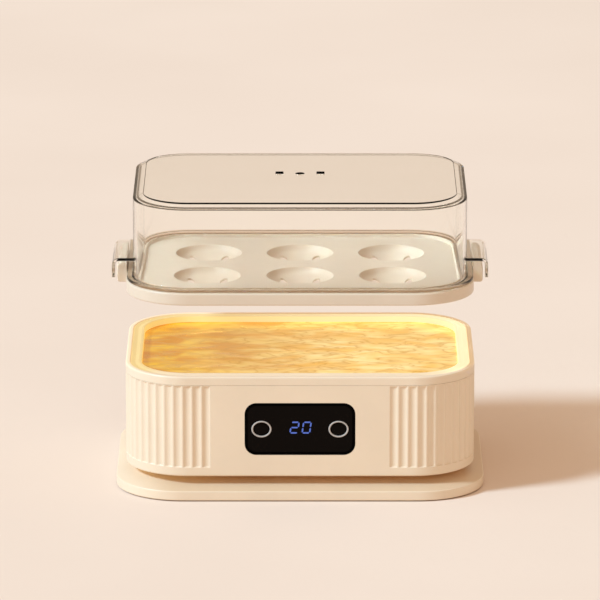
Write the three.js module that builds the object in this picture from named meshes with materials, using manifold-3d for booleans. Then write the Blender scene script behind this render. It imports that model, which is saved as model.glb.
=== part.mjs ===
// Egg cooker: a fluted body on a wide stand plate, a shallow gilt heating pan with a glowing
// ledge round it, a lift-off egg tray for six eggs and a clear lid with hooked ears.
// The tray and the lid are drawn raised above the body.
// Millimetres, +Z up, front towards -Y, origin on the resting plane under the middle.

import * as THREE from "three";
import Module from "manifold-3d";
import { mergeVertices } from "three/addons/utils/BufferGeometryUtils.js";

const wasm = await Module();
wasm.setup();

// ---------------------------------------------------------------- driving dimensions

const GAP = 0.3;                                          // between pieces that touch

// plans: rounded rectangles seen from above
const PLATE = { width: 209, depth: 154, radius: 38 };
const PLATE_HOLLOW = { width: 100, depth: 120, radius: 14, top: 6 };   // in its underside
const BODY = { width: 198, depth: 143, radius: 36 };
const COVER_INSET = 20;                                   // how far the pedestal stands in from the body
const COVER = {
  width: BODY.width - 2 * COVER_INSET,
  depth: BODY.depth - 2 * COVER_INSET,
  radius: BODY.radius - COVER_INSET,
};
const TRAY = { width: 196.6, depth: 141, radius: 35.3 };
const LID = { width: 188.4, depth: 132.8, radius: 31.2 };
const SHIELD = { width: 172.8, depth: 86, radius: 12 };

// heights
const FOOT_HEIGHT = 3;
const PLATE_BOTTOM = 0.5;
const PLATE_EDGE = 6;                                     // top of the plate at its edge
const PLATE_TOP = 9.6;                                    // top of its raised middle
const COVER_BOTTOM = PLATE_TOP + GAP;
const COVER_FLOOR = COVER_BOTTOM + 2.3;
const BODY_BOTTOM = 13.2;
const BRIM = { bottom: 13.5, top: 15.4 };                 // closes the body from below
const SEAM = 66.3;                                        // top edge of the fluted shell
const RIM = 71.4;                                         // top of the collar
const TRAY_LIFT = 41;                                     // clear height between rim and tray
const TRAY_BOTTOM = RIM + TRAY_LIFT;
const TRAY_TOP = TRAY_BOTTOM + 7.2;
const LID_BASE = TRAY_TOP + GAP;
const LID_SHOULDER = 166.9;
const LID_TOP = 169.6;

// body shell
const WALL = 2.8;
const LEDGE_INSET = 14;                                   // inner edge of the shelf under the pan
const LEDGE_TOP = 62;
const LEDGE_BOTTOM = 60;
const POST = { x: 78.2, y: 50.7, radius: 4, bottom: BRIM.top + GAP, hole: 27 };
const FLUTE = { pitch: 5.3, width: 4.7, depth: 0.8, bottom: 18.4, top: SEAM - 0.25 };
const PLAIN_HALF = 50;                                    // half of the smooth front and back

// control panel, on the front wall
const FRONT = -BODY.depth / 2;
const BACK = BODY.depth / 2;
const PANEL = { width: 61.8, height: 29.8, radius: 6.3, z: 41 };
const PANEL_FLANGE = 2;
const BUTTON_X = 21.7;
const CAP_RADIUS = 4.4;
const RING_RADIUS = 5.65;
const BUTTON_SQUASH = 0.85;                               // the buttons are lower than they are wide
const BUTTON_TRAVEL = 0.8;

// collar and the glowing ledge inside it; lip, foot, inside and leg are insets from the body's plan
const COLLAR = { lip: 2.8, foot: 5.8, footTop: 67.5, footBottom: 64.2 };
const LIGHT_RING = { inside: 9.2, leg: 8, under: RIM - 1.7 };

// pan and heater
const PAN_FLOOR = RIM - 4;
const PAN_THICK = 1.8;
const PAN_BOTTOM = PAN_FLOOR - PAN_THICK;
const PAN_EDGE = { outer: 6.2, inner: 7.7, top: PAN_FLOOR + 1.3 };
const ELEMENT = { z: 58.6, radius: 3.3, halfX: 28, halfY: 4, bend: 20, tail: 40 };
const SHIELD_BOTTOM = 45.5;

// egg tray
const WELL = { pitchX: 52.5, pitchY: 52, radius: 19, hole: 7, steamRadius: 13, steamHole: 2.2 };

// hooked ears on the lid, and the lugs under them on the tray
const EAR = { halfLength: 22, outer: 106.8, thick: 1.8, top: 127.6, bottom: 116.4, bend: 4 };
const TRAY_EAR = { halfLength: 20, outer: EAR.outer - EAR.thick - 1.2, bottom: TRAY_BOTTOM + 0.9 };

// steam vents in the lid: a round one between two oblong ones
const VENT = { x: 11.7, y: 10.8, width: 4.6, length: 7, radius: 2.7, roundY: 9.6 };

// power inlet and boards
const INLET = { z: 27, width: 22, height: 14, pinX: 4.3, front: BACK - 17.5 };
const BOARD = { z: 20, thick: 1.6, width: 96, depth: 56, y: 14 };
const BOARD_TOP = BOARD.z + BOARD.thick;
const BOARD_POSTS = [[-42, -8], [42, -8], [-42, 36], [42, 36]];
const BOARD_SCREWS = [BOARD_POSTS[1], BOARD_POSTS[2]];
const BOSS = { x: 38, radius: 3, back: FRONT + 12.2 };    // carries the control board
const CONTROL = { front: BOSS.back + GAP, back: BOSS.back + GAP + 1.6, width: 84, height: 28 };
const PANEL_BACK = FRONT + WALL + GAP + 1.2;

// feet and screws
const FOOT = { x: 84, y: 57, radius: 6.5 };
const SHANK = 1.3;
const HEAD = 3;                                           // radius of the case screws' heads
const BASE_SCREW = { x: 60, y: 43, head: 1.5, neck: 5, tip: 16, boss: 4, bossTop: 19 };
const SMALL_SCREW = { shank: 0.95, head: 2.6, headHeight: 1.4, pilot: 1.3 };

const CORNER_STEPS = 6;

// ---------------------------------------------------------------- materials

function material(color, roughness, metalness = 0, opacity = 1) {
  const transparent = opacity < 1;
  return new THREE.MeshStandardMaterial({ color, roughness, metalness, opacity, transparent });
}

const looks = {
  cream: material("#efdcc4", 0.42),
  creamTray: material("#f2e2cc", 0.35),
  rubber: material("#8d8378", 0.85),
  glow: material("#ffe9a8", 0.3),
  gilt: material("#e9b455", 0.28, 0.7),
  tea: material("#e2c7a2", 0.06, 0, 0.3),
  gloss: material("#14100d", 0.08),
  silver: material("#c4c0bb", 0.3, 0.9),
  steel: material("#b9babc", 0.35, 1),
  aluminium: material("#c9cbcd", 0.4, 1),
  silicone: material("#d9d2c6", 0.7),
  board: material("#1f6b3f", 0.5),
  black: material("#202022", 0.5),
  blue: material("#2b4f9a", 0.4),
  yellow: material("#d8b62c", 0.4),
  brass: material("#c39a4a", 0.35, 1),
  ivory: material("#e6dcc3", 0.6),
  redWire: material("#a8322c", 0.5),
  whiteWire: material("#e8e6e0", 0.5),
  greyWire: material("#8f9499", 0.5),
};

// ---------------------------------------------------------------- geometry kit

// A closed three.js geometry as a solid that can be joined and cut.
function solid(geometry) {
  const bare = geometry.clone();
  bare.deleteAttribute("normal");
  bare.deleteAttribute("uv");
  const merged = mergeVertices(bare, 1e-4);
  return new wasm.Manifold(new wasm.Mesh({
    numProp: 3,
    vertProperties: new Float32Array(merged.attributes.position.array),
    triVerts: new Uint32Array(merged.index.array),
  }));
}

function join(first, ...others) {
  return others.reduce((sum, geometry) => sum.add(solid(geometry)), toSolid(first));
}

function cut(first, ...others) {
  return others.reduce((rest, geometry) => rest.subtract(solid(geometry)), toSolid(first));
}

function toSolid(shape) {
  return shape.isBufferGeometry ? solid(shape) : shape;
}

function toGeometry(shape) {
  if (shape.isBufferGeometry) return shape;
  const mesh = shape.getMesh();
  const positions = new Float32Array(mesh.numVert * 3);
  for (let i = 0; i < mesh.numVert; i++) {
    for (let k = 0; k < 3; k++) positions[3 * i + k] = mesh.vertProperties[mesh.numProp * i + k];
  }
  const geometry = new THREE.BufferGeometry();
  geometry.setAttribute("position", new THREE.BufferAttribute(positions, 3));
  geometry.setIndex(new THREE.BufferAttribute(new Uint32Array(mesh.triVerts), 1));
  geometry.computeVertexNormals();
  return geometry;
}

// The outline of a plan, moved in by inset, as points that run anticlockwise.
function outline(plan, inset) {
  const radius = plan.radius - inset;
  const points = [];
  for (let corner = 0; corner < 4; corner++) {
    const signX = corner === 0 || corner === 3 ? 1 : -1;
    const signY = corner < 2 ? 1 : -1;
    for (let step = 0; step <= CORNER_STEPS; step++) {
      const angle = (corner + step / CORNER_STEPS) * Math.PI / 2;
      points.push(new THREE.Vector2(
        signX * (plan.width / 2 - plan.radius) + radius * Math.cos(angle),
        signY * (plan.depth / 2 - plan.radius) + radius * Math.sin(angle),
      ));
    }
  }
  return points;
}

// A solid with one section all round a plan. The profile is a list of [inset, z] that runs up the
// outside and down the inside. Closed, it makes a ring; otherwise its two ends are filled across.
function around(plan, profile, closed = true) {
  const rows = profile.map(([inset, z]) => outline(plan, inset).map((p) => [p.x, p.y, z]));
  const count = rows[0].length;
  const positions = rows.flat(2);
  const index = [];
  const bands = closed ? rows.length : rows.length - 1;
  for (let row = 0; row < bands; row++) {
    const low = row * count;
    const high = ((row + 1) % rows.length) * count;
    for (let i = 0; i < count; i++) {
      const j = (i + 1) % count;
      index.push(low + i, low + j, high + j, low + i, high + j, high + i);
    }
  }
  if (!closed) {
    const last = (rows.length - 1) * count;
    positions.push(0, 0, profile[0][1], 0, 0, profile[rows.length - 1][1]);
    for (let i = 0; i < count; i++) {
      const j = (i + 1) % count;
      index.push(rows.length * count, j, i, rows.length * count + 1, last + i, last + j);
    }
  }
  const geometry = new THREE.BufferGeometry();
  geometry.setAttribute("position", new THREE.Float32BufferAttribute(positions, 3));
  geometry.setIndex(index);
  return geometry;
}

function box(width, depth, height, x, y, bottom) {
  return new THREE.BoxGeometry(width, depth, height).translate(x, y, bottom + height / 2);
}

function rod(radius, x, y, bottom, top, sides = 12) {
  const geometry = new THREE.CylinderGeometry(radius, radius, top - bottom, sides);
  return geometry.rotateX(Math.PI / 2).translate(x, y, (top + bottom) / 2);
}

// Turned about a vertical axis: profile is a list of [radius, z].
function turned(profile, x, y, sides = 14) {
  const points = profile.map(([radius, z]) => new THREE.Vector2(radius, z));
  return new THREE.LatheGeometry(points, sides).rotateX(Math.PI / 2).translate(x, y, 0);
}

// Turned about an axis that runs front to back: profile is a list of [radius, y]. A squash below 1
// makes it lower than it is wide.
function turnedAlongY(profile, x, z, sides = 18, squash = 1) {
  const points = profile.map(([radius, y]) => new THREE.Vector2(radius, y));
  return new THREE.LatheGeometry(points, sides).scale(1, 1, squash).translate(x, 0, z);
}

function rodAlongY(radius, x, z, front, back, sides = 14, squash = 1) {
  return turnedAlongY([[0, front], [radius, front], [radius, back], [0, back]], x, z, sides, squash);
}

// The profile of a board screw, from its tip to the underside of its head.
function smallScrew(tip, neck) {
  const { shank, head, headHeight } = SMALL_SCREW;
  return [
    [0, tip], [shank, tip], [shank, neck], [head, neck], [head, neck + headHeight], [0, neck + headHeight],
  ];
}

// A rounded rectangle standing in the XZ plane, from front to back.
function slabXZ(width, height, radius, x, z, front, back, arcSteps = 4) {
  const w = width / 2 - radius;
  const h = height / 2 - radius;
  const shape = new THREE.Shape();
  shape.absarc(w, h, radius, 0, Math.PI / 2);
  shape.absarc(-w, h, radius, Math.PI / 2, Math.PI);
  shape.absarc(-w, -h, radius, Math.PI, 1.5 * Math.PI);
  shape.absarc(w, -h, radius, 1.5 * Math.PI, 2 * Math.PI);
  const options = { depth: back - front, bevelEnabled: false, curveSegments: arcSteps };
  return new THREE.ExtrudeGeometry(shape, options).rotateX(Math.PI / 2).translate(x, back, z);
}

// An outline in the XZ plane, extruded along Y and centred on it.
function prismAlongY(shape, length, curveSegments = 6) {
  const options = { depth: length, bevelEnabled: false, curveSegments };
  return new THREE.ExtrudeGeometry(shape, options).rotateX(Math.PI / 2).translate(0, length / 2, 0);
}

function tube(points, radius, steps, sides = 8) {
  const stops = points.map((p) => new THREE.Vector3(...p));
  const path = new THREE.CatmullRomCurve3(stops, false, "centripetal");
  const section = new THREE.Shape();
  for (let i = 0; i < sides; i++) {
    const angle = i * 2 * Math.PI / sides;
    const point = [radius * Math.cos(angle), radius * Math.sin(angle)];
    if (i === 0) section.moveTo(...point);
    else section.lineTo(...point);
  }
  return new THREE.ExtrudeGeometry(section, { steps, extrudePath: path, curveSegments: 1 });
}

const model = new THREE.Group();

function add(name, shape, look) {
  const mesh = new THREE.Mesh(toGeometry(shape), looks[look]);
  mesh.name = name;
  model.add(mesh);
}

// Calls make(signX, signY, name suffix) at the four corners.
function atCorners(make) {
  for (const [signX, side] of [[-1, "left"], [1, "right"]]) {
    for (const [signY, end] of [[-1, "front"], [1, "back"]]) make(signX, signY, `${end}_${side}`);
  }
}

// Calls make(sign, name suffix) on the left and on the right.
function atSides(make) {
  make(-1, "left");
  make(1, "right");
}

// ---------------------------------------------------------------- stand plate, feet, plinth

function makeStand() {
  let plate = solid(around(PLATE, [
    [1, PLATE_BOTTOM], [0, PLATE_BOTTOM + 1], [0, PLATE_EDGE - 1], [0.35, PLATE_EDGE - 0.3],
    [1.2, PLATE_EDGE], [11.5, PLATE_TOP - 0.5], [14, PLATE_TOP],
  ], false));
  plate = cut(plate, around(PLATE_HOLLOW, [[0, PLATE_BOTTOM - 1], [0, PLATE_HOLLOW.top]], false));
  atCorners((signX, signY, corner) => {
    const [footX, footY] = [signX * FOOT.x, signY * FOOT.y];
    const [screwX, screwY] = [signX * BASE_SCREW.x, signY * BASE_SCREW.y];
    plate = cut(
      plate,
      rod(FOOT.radius + GAP, footX, footY, PLATE_BOTTOM - 1, FOOT_HEIGHT + GAP),
      rod(HEAD + 0.5, screwX, screwY, PLATE_BOTTOM - 1, BASE_SCREW.neck + GAP),
      rod(SHANK + GAP, screwX, screwY, BASE_SCREW.neck, PLATE_TOP + 1, 8),
    );
    add(`foot_${corner}`, turned([
      [0, 0], [FOOT.radius - 0.6, 0], [FOOT.radius, 0.6], [FOOT.radius, FOOT_HEIGHT], [0, FOOT_HEIGHT],
    ], footX, footY), "rubber");
    const { head, neck, tip } = BASE_SCREW;
    add(`base_screw_${corner}`, turned([
      [0, head], [HEAD, head], [HEAD, neck], [SHANK, neck], [SHANK, tip], [0, tip],
    ], screwX, screwY, 10), "steel");
  });
  add("base_plate", plate, "cream");
}

function makeBottomCover() {
  const reach = WALL + GAP - COVER_INSET;                 // out to the inside of the body shell
  let cover = solid(around(COVER, [
    [0.8, COVER_BOTTOM], [0, COVER_BOTTOM + 0.8], [0, BRIM.bottom], [reach, BRIM.bottom],
    [reach, BRIM.top], [2.4, BRIM.top], [2.4, COVER_FLOOR],
  ], false));
  atCorners((signX, signY, corner) => {
    const [postX, postY] = [signX * POST.x, signY * POST.y];
    const [screwX, screwY] = [signX * BASE_SCREW.x, signY * BASE_SCREW.y];
    cover = cut(
      join(cover, rod(BASE_SCREW.boss, screwX, screwY, COVER_FLOOR - 1, BASE_SCREW.bossTop, 8)),
      rod(SHANK + GAP, postX, postY, BRIM.bottom - 1, BRIM.top + 1, 8),
      rod(SHANK + GAP, screwX, screwY, COVER_BOTTOM - 1, BASE_SCREW.tip + 1, 8),
    );
    const head = BRIM.bottom - GAP;
    const tip = POST.hole - 2;
    add(`housing_screw_${corner}`, turned([
      [0, head - 2], [HEAD, head - 2], [HEAD, head], [SHANK, head], [SHANK, tip], [0, tip],
    ], postX, postY, 10), "steel");
  });
  for (const [x, y] of BOARD_POSTS) cover = join(cover, rod(3, x, y, COVER_FLOOR - 1, BOARD.z - GAP, 8));
  for (const [x, y] of BOARD_SCREWS) cover = cut(cover, rod(1.4, x, y, 12, BOARD.z, 8));
  add("bottom_cover", cover, "cream");
}

// ---------------------------------------------------------------- body shell

// Places along the body's outline, with the outward direction at each, one for each flute.
function flutePlaces() {
  const straightX = BODY.width / 2 - BODY.radius;
  const straightY = BODY.depth / 2 - BODY.radius;
  const arc = BODY.radius * Math.PI / 2;
  const frontRun = straightX - PLAIN_HALF;
  const run = 2 * frontRun + 2 * arc + 2 * straightY;     // from smooth front to smooth back
  const count = Math.floor(run / FLUTE.pitch);
  const places = [];
  for (let i = 0; i < count; i++) {
    const along = (i + 0.5) * run / count;
    places.push(placeOnSide(along, frontRun, arc, straightX, straightY));
  }
  return places;
}

function placeOnSide(along, frontRun, arc, straightX, straightY) {
  let s = along;
  if (s < frontRun) return { x: PLAIN_HALF + s, y: -straightY - BODY.radius, angle: -Math.PI / 2 };
  s -= frontRun;
  if (s < arc) return onArc(straightX, -straightY, s / BODY.radius - Math.PI / 2);
  s -= arc;
  if (s < 2 * straightY) return { x: straightX + BODY.radius, y: s - straightY, angle: 0 };
  s -= 2 * straightY;
  if (s < arc) return onArc(straightX, straightY, s / BODY.radius);
  return { x: straightX - (s - arc), y: straightY + BODY.radius, angle: Math.PI / 2 };
}

function onArc(x, y, angle) {
  return { x: x + BODY.radius * Math.cos(angle), y: y + BODY.radius * Math.sin(angle), angle };
}

function makeHousing() {
  let shell = solid(around(BODY, [
    [0.9, BODY_BOTTOM], [0.25, BODY_BOTTOM + 0.3], [0, BODY_BOTTOM + 1], [0, SEAM - 0.4], [0.4, SEAM],
    [WALL, SEAM], [WALL, LEDGE_TOP], [LEDGE_INSET, LEDGE_TOP], [LEDGE_INSET, LEDGE_BOTTOM],
    [WALL, LEDGE_BOTTOM], [WALL, BODY_BOTTOM],
  ]));
  // a flute is the shallow edge of a tall cylinder that stands mostly outside the wall
  const radius = (FLUTE.width ** 2 / 4 + FLUTE.depth ** 2) / (2 * FLUTE.depth);
  const reach = radius - FLUTE.depth;
  for (const place of flutePlaces()) {
    const x = place.x + reach * Math.cos(place.angle);
    const y = place.y + reach * Math.sin(place.angle);
    shell = cut(
      shell,
      rod(radius, x, y, FLUTE.bottom, FLUTE.top, 10),
      rod(radius, -x, y, FLUTE.bottom, FLUTE.top, 10),
    );
  }
  atCorners((signX, signY) => {
    const [x, y] = [signX * POST.x, signY * POST.y];
    shell = join(shell, rod(POST.radius, x, y, POST.bottom, LEDGE_BOTTOM + 1, 12));
    shell = cut(shell, rod(SHANK + GAP, x, y, POST.bottom - 1, POST.hole, 8));
  });
  atSides((sign) => {
    shell = join(shell, rodAlongY(BOSS.radius, sign * BOSS.x, PANEL.z, FRONT + 1.5, BOSS.back, 12));
    shell = cut(shell, rodAlongY(SMALL_SCREW.pilot, sign * BOSS.x, PANEL.z,
      FRONT + 4.5, BOSS.back + 1, 10));
  });
  const panelWindow = slabXZ(PANEL.width + 2 * GAP, PANEL.height + 2 * GAP, PANEL.radius + GAP,
    0, PANEL.z, FRONT - 2, FRONT + 4);
  const inletWindow = slabXZ(INLET.width + 2 * GAP, INLET.height + 2 * GAP, 2,
    0, INLET.z, BACK - 4, BACK + 2, 2);
  add("housing", cut(shell, panelWindow, inletWindow), "cream");
}

function makeCollarAndLight() {
  const { lip, foot, footTop, footBottom } = COLLAR;
  add("rim_collar", around(BODY, [
    [0, SEAM + GAP], [0, RIM - 1.1], [0.35, RIM - 0.35], [1.1, RIM], [lip - 0.7, RIM],
    [lip - 0.15, RIM - 0.25], [lip, RIM - 0.8], [lip, footTop], [foot, footTop], [foot, footBottom],
    [WALL + GAP, footBottom], [WALL + GAP, SEAM + GAP],
  ]), "cream");
  // a channel, open below, over the light board; its inner leg is the wall of the pan
  const outside = lip + GAP;
  const ledge = outside + 1.2;
  const { inside, leg, under } = LIGHT_RING;
  const boardTop = footTop + GAP + 0.7;
  add("light_ring", around(BODY, [
    [outside, boardTop + GAP], [outside, RIM - 0.8], [outside + 0.3, RIM - 0.5], [6, RIM - 0.45],
    [inside - 1.1, RIM], [inside - 0.5, RIM - 0.1], [inside - 0.1, RIM - 0.5], [inside, RIM - 1.2],
    [inside, PAN_FLOOR + GAP], [leg, PAN_FLOOR + GAP], [leg, under], [ledge, under],
    [ledge, boardTop + GAP],
  ]), "glow");
  add("light_board", around(BODY, [
    [outside, footTop + GAP], [outside, boardTop], [foot - 0.2, boardTop], [foot - 0.2, footTop + GAP],
  ]), "board");
}

// ---------------------------------------------------------------- pan, heater, safety parts

function makePan() {
  const { outer, inner, top } = PAN_EDGE;
  add("heating_pan", around(BODY, [
    [outer + 0.5, PAN_BOTTOM], [outer, PAN_BOTTOM + 0.5], [outer, top], [inner, top],
    [inner, PAN_FLOOR + 0.4], [inner + 0.4, PAN_FLOOR],
  ], false), "gilt");
  add("pan_gasket", around(BODY, [
    [7.4, LEDGE_TOP + GAP], [7.4, PAN_BOTTOM - GAP], [9.8, PAN_BOTTOM - GAP], [9.8, LEDGE_TOP + GAP],
  ]), "silicone");
}

function makeHeater() {
  const plateTop = PAN_BOTTOM - GAP;
  const plateBottom = ELEMENT.z + ELEMENT.radius + GAP;
  add("heat_spreader", around({ width: 124, depth: 72, radius: 26 }, [
    [0, plateBottom], [0, plateTop],
  ], false), "aluminium");

  const { z, halfX, halfY, bend, tail } = ELEMENT;
  const loop = new THREE.Path();
  loop.moveTo(9, tail);
  loop.lineTo(9, 34);
  loop.quadraticCurveTo(9, halfY + bend, 19, halfY + bend);
  loop.absarc(halfX, halfY, bend, Math.PI / 2, 0, true);
  loop.absarc(halfX, -halfY, bend, 0, -Math.PI / 2, true);
  loop.absarc(-halfX, -halfY, bend, -Math.PI / 2, -Math.PI, true);
  loop.absarc(-halfX, halfY, bend, Math.PI, Math.PI / 2, true);
  loop.lineTo(-19, halfY + bend);
  loop.quadraticCurveTo(-9, halfY + bend, -9, 34);
  loop.lineTo(-9, tail);
  const route = loop.getPoints(4).map((p) => [p.x, p.y, z]);
  add("heating_element", tube(route, ELEMENT.radius, 30), "steel");

  const top = plateBottom - GAP;
  add("thermostat", join(
    turned([[0, 52], [6.5, 52], [6.5, 54.6], [8, 54.6], [8, top], [0, top]], 0, 0, 18),
    box(26, 6, 0.8, 0, 0, top - 1.2),
  ), "aluminium");
  add("temperature_probe", turned([
    [0, 51], [1.6, 51], [1.6, 54], [3, 54.5], [3, top], [0, top],
  ], 26, 0, 14), "steel");
  const fuse = rod(2.2, 0, 0, -14, 14, 12).rotateY(Math.PI / 2).translate(0, -14, top - 2.2);
  add("thermal_fuse", fuse, "ivory");

  // sheet-metal tray under the heater, hung from the body's shelf by four tabs
  let shield = solid(around(SHIELD, [
    [0, SHIELD_BOTTOM], [0, 50], [0.8, 50], [0.8, SHIELD_BOTTOM + 0.8],
  ], false));
  for (const y of [-22, 22]) {
    atSides((sign) => {
      const x = sign * (SHIELD.width / 2 - 0.4);
      shield = join(shield, box(0.8, 12, LEDGE_BOTTOM - GAP - 49, x, y, 49));
    });
  }
  add("heat_shield", shield, "steel");
}

// ---------------------------------------------------------------- boards and wiring

function makePowerBoard() {
  let board = solid(box(BOARD.width, BOARD.depth, BOARD.thick, 0, BOARD.y, BOARD.z));
  BOARD_SCREWS.forEach(([x, y], i) => {
    board = cut(board, rod(SMALL_SCREW.pilot, x, y, BOARD.z - 1, BOARD_TOP + 1, 10));
    add(`board_screw_${i + 1}`, turned(smallScrew(13, BOARD_TOP + GAP), x, y, 10), "steel");
  });
  add("power_board", board, "board");
  const seat = BOARD_TOP + GAP;
  add("transformer", join(box(24, 20, 11, -26, 20, seat + 2), box(18, 24, 7, -26, 20, seat + 4),
    box(14, 14, 16, -26, 20, seat)), "yellow");
  add("relay", box(15, 15, 15, 6, 26, seat), "blue");
  add("capacitor", turned([
    [0, seat], [5, seat], [5, seat + 14.2], [4.4, seat + 15], [0, seat + 15],
  ], 28, 4, 16), "black");
  add("terminal_block", cut(
    box(20, 9, 11, 34, 30, seat),
    rod(1.5, 31, 30, seat + 8, seat + 12, 10),
    rod(1.5, 37, 30, seat + 8, seat + 12, 10),
  ), "ivory");
}

function makeInlet() {
  const back = BACK + GAP + 1.6;
  let body = join(
    slabXZ(INLET.width, INLET.height, 1.7, 0, INLET.z, INLET.front, BACK + GAP + 0.5, 2),
    slabXZ(28, 20, 3, 0, INLET.z, BACK + GAP, back, 3),
  );
  for (const x of [-INLET.pinX, INLET.pinX]) {
    body = cut(body, rodAlongY(4.2, x, INLET.z, back - 12, back + 1, 12),
      rodAlongY(1.45, x, INLET.z, INLET.front - 1, back - 11, 10));
  }
  body = cut(body, slabXZ(2 * INLET.pinX, 6.4, 0.5, 0, INLET.z, back - 12, back + 1, 1));
  add("power_inlet", body, "black");
  atSides((sign, side) => {
    const pin = rodAlongY(1.15, sign * INLET.pinX, INLET.z, INLET.front - 1, back - 3, 10);
    add(`inlet_pin_${side}`, pin, "brass");
  });
}

function makeWiring() {
  const blockTop = BOARD_TOP + GAP + 11 + GAP;
  const pinEnd = INLET.front - 1 - GAP;
  const tailEnd = ELEMENT.tail + 1.2;
  const radius = 1.2;
  const steps = 11;
  const heaterLead = (x, ...rest) => [[x, tailEnd, ELEMENT.z], [x, tailEnd + 1.5, ELEMENT.z], ...rest];
  const inletLead = (x, ...rest) => [[x, pinEnd, INLET.z], [x, pinEnd - 2, INLET.z], ...rest];
  add("heater_lead_right", tube(heaterLead(
    9, [10, 46, 54], [14, 47, 44], [30, 42, 40], [37, 32, 37], [37, 30, blockTop],
  ), radius, steps), "redWire");
  add("heater_lead_left", tube(heaterLead(
    -9, [-9, 46, 54], [-4, 47, 43], [18, 40, 42], [30, 32, 37], [31, 30, blockTop],
  ), radius, steps), "whiteWire");
  add("inlet_lead_left", tube(inletLead(
    -INLET.pinX, [-3, 47, 26], [8, 41, 25.5], [24, 40, 26], [30, 38, 27], [30, 34.5 + GAP, 27],
  ), radius, steps), "whiteWire");
  add("inlet_lead_right", tube(inletLead(
    INLET.pinX, [6, 48.5, 28.5], [16, 45.5, 29], [30, 44, 28.5], [37, 40, 27.5], [38, 34.5 + GAP, 27],
  ), radius, steps), "redWire");

  // flat cable from the control board down to the power board, drawn in side view
  const start = CONTROL.back + GAP;
  const cable = new THREE.Shape();
  cable.moveTo(start, 30);
  cable.lineTo(start + 8, 30);
  cable.quadraticCurveTo(start + 20, 30, -16, BOARD_TOP + GAP);
  cable.lineTo(-10, BOARD_TOP + GAP);
  cable.lineTo(-10, BOARD_TOP + GAP + 1);
  cable.lineTo(-15.8, BOARD_TOP + GAP + 1);
  cable.quadraticCurveTo(start + 20, 31, start + 8, 31);
  cable.lineTo(start, 31);
  const options = { depth: 16, bevelEnabled: false, curveSegments: 5 };
  const strip = new THREE.ExtrudeGeometry(cable, options);
  strip.applyMatrix4(new THREE.Matrix4().makeBasis(
    new THREE.Vector3(0, 1, 0), new THREE.Vector3(0, 0, 1), new THREE.Vector3(1, 0, 0),
  ));
  add("ribbon_cable", strip.translate(-8, 0, 0), "greyWire");
}

// ---------------------------------------------------------------- control panel

function makePanel() {
  let panel = join(
    slabXZ(PANEL.width, PANEL.height, PANEL.radius, 0, PANEL.z, FRONT, PANEL_BACK - 0.6),
    slabXZ(PANEL.width + 2 * PANEL_FLANGE, PANEL.height + 2 * PANEL_FLANGE, PANEL.radius + PANEL_FLANGE,
      0, PANEL.z, FRONT + WALL + GAP, PANEL_BACK),
  );
  atSides((sign, side) => {
    const x = sign * BUTTON_X;
    panel = cut(
      panel,
      rodAlongY(CAP_RADIUS + GAP, x, PANEL.z, FRONT - 1, PANEL_BACK + 1, 18, BUTTON_SQUASH),
      rodAlongY(RING_RADIUS + GAP, x, PANEL.z, FRONT - 1, FRONT + 1.5, 18, BUTTON_SQUASH),
    );
    add(`${side}_button_ring`, turnedAlongY([
      [CAP_RADIUS + GAP, FRONT + 1.2], [CAP_RADIUS + GAP, FRONT - 0.2],
      [CAP_RADIUS + GAP + 0.2, FRONT - 0.4], [RING_RADIUS - 0.3, FRONT - 0.4],
      [RING_RADIUS, FRONT - 0.2], [RING_RADIUS, FRONT + 1.2], [CAP_RADIUS + GAP, FRONT + 1.2],
    ], x, PANEL.z, 18, BUTTON_SQUASH), "silver");
    const flange = PANEL_BACK + GAP;
    add(`${side}_button`, turnedAlongY([
      [0, FRONT - 0.35], [2.4, FRONT - 0.2], [CAP_RADIUS - 0.3, FRONT + 0.15], [CAP_RADIUS, FRONT + 0.5],
      [CAP_RADIUS, flange], [RING_RADIUS, flange], [RING_RADIUS, flange + 1], [2, flange + 1],
      [2, flange + 1.4], [0, flange + 1.4],
    ], x, PANEL.z, 18, BUTTON_SQUASH), "gloss");
    const plunger = flange + 1.4 + BUTTON_TRAVEL + GAP;
    add(`${side}_switch`, join(
      box(6, CONTROL.front - GAP - plunger - 1.2, 6, x,
        (CONTROL.front - GAP + plunger + 1.2) / 2, PANEL.z - 3),
      rodAlongY(1.7, x, PANEL.z, plunger, plunger + 2, 12),
    ), "black");
    add(`control_screw_${side}`, turnedAlongY(
      smallScrew(FRONT + 6, CONTROL.back + GAP), sign * BOSS.x, PANEL.z, 10,
    ), "steel");
  });
  add("panel_face", panel, "gloss");

  let board = solid(box(CONTROL.width, CONTROL.back - CONTROL.front, CONTROL.height,
    0, (CONTROL.front + CONTROL.back) / 2, PANEL.z - CONTROL.height / 2));
  atSides((sign) => {
    board = cut(board, rodAlongY(SMALL_SCREW.pilot, sign * BOSS.x, PANEL.z,
      CONTROL.front - 1, CONTROL.back + 1, 10));
  });
  add("control_board", board, "board");
  const displayFront = PANEL_BACK + GAP;
  const displayBack = CONTROL.front - GAP;
  add("display_module", box(26, displayBack - displayFront, 14, 0, (displayFront + displayBack) / 2,
    PANEL.z - 6.5), "black");
}

// ---------------------------------------------------------------- egg tray

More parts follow.
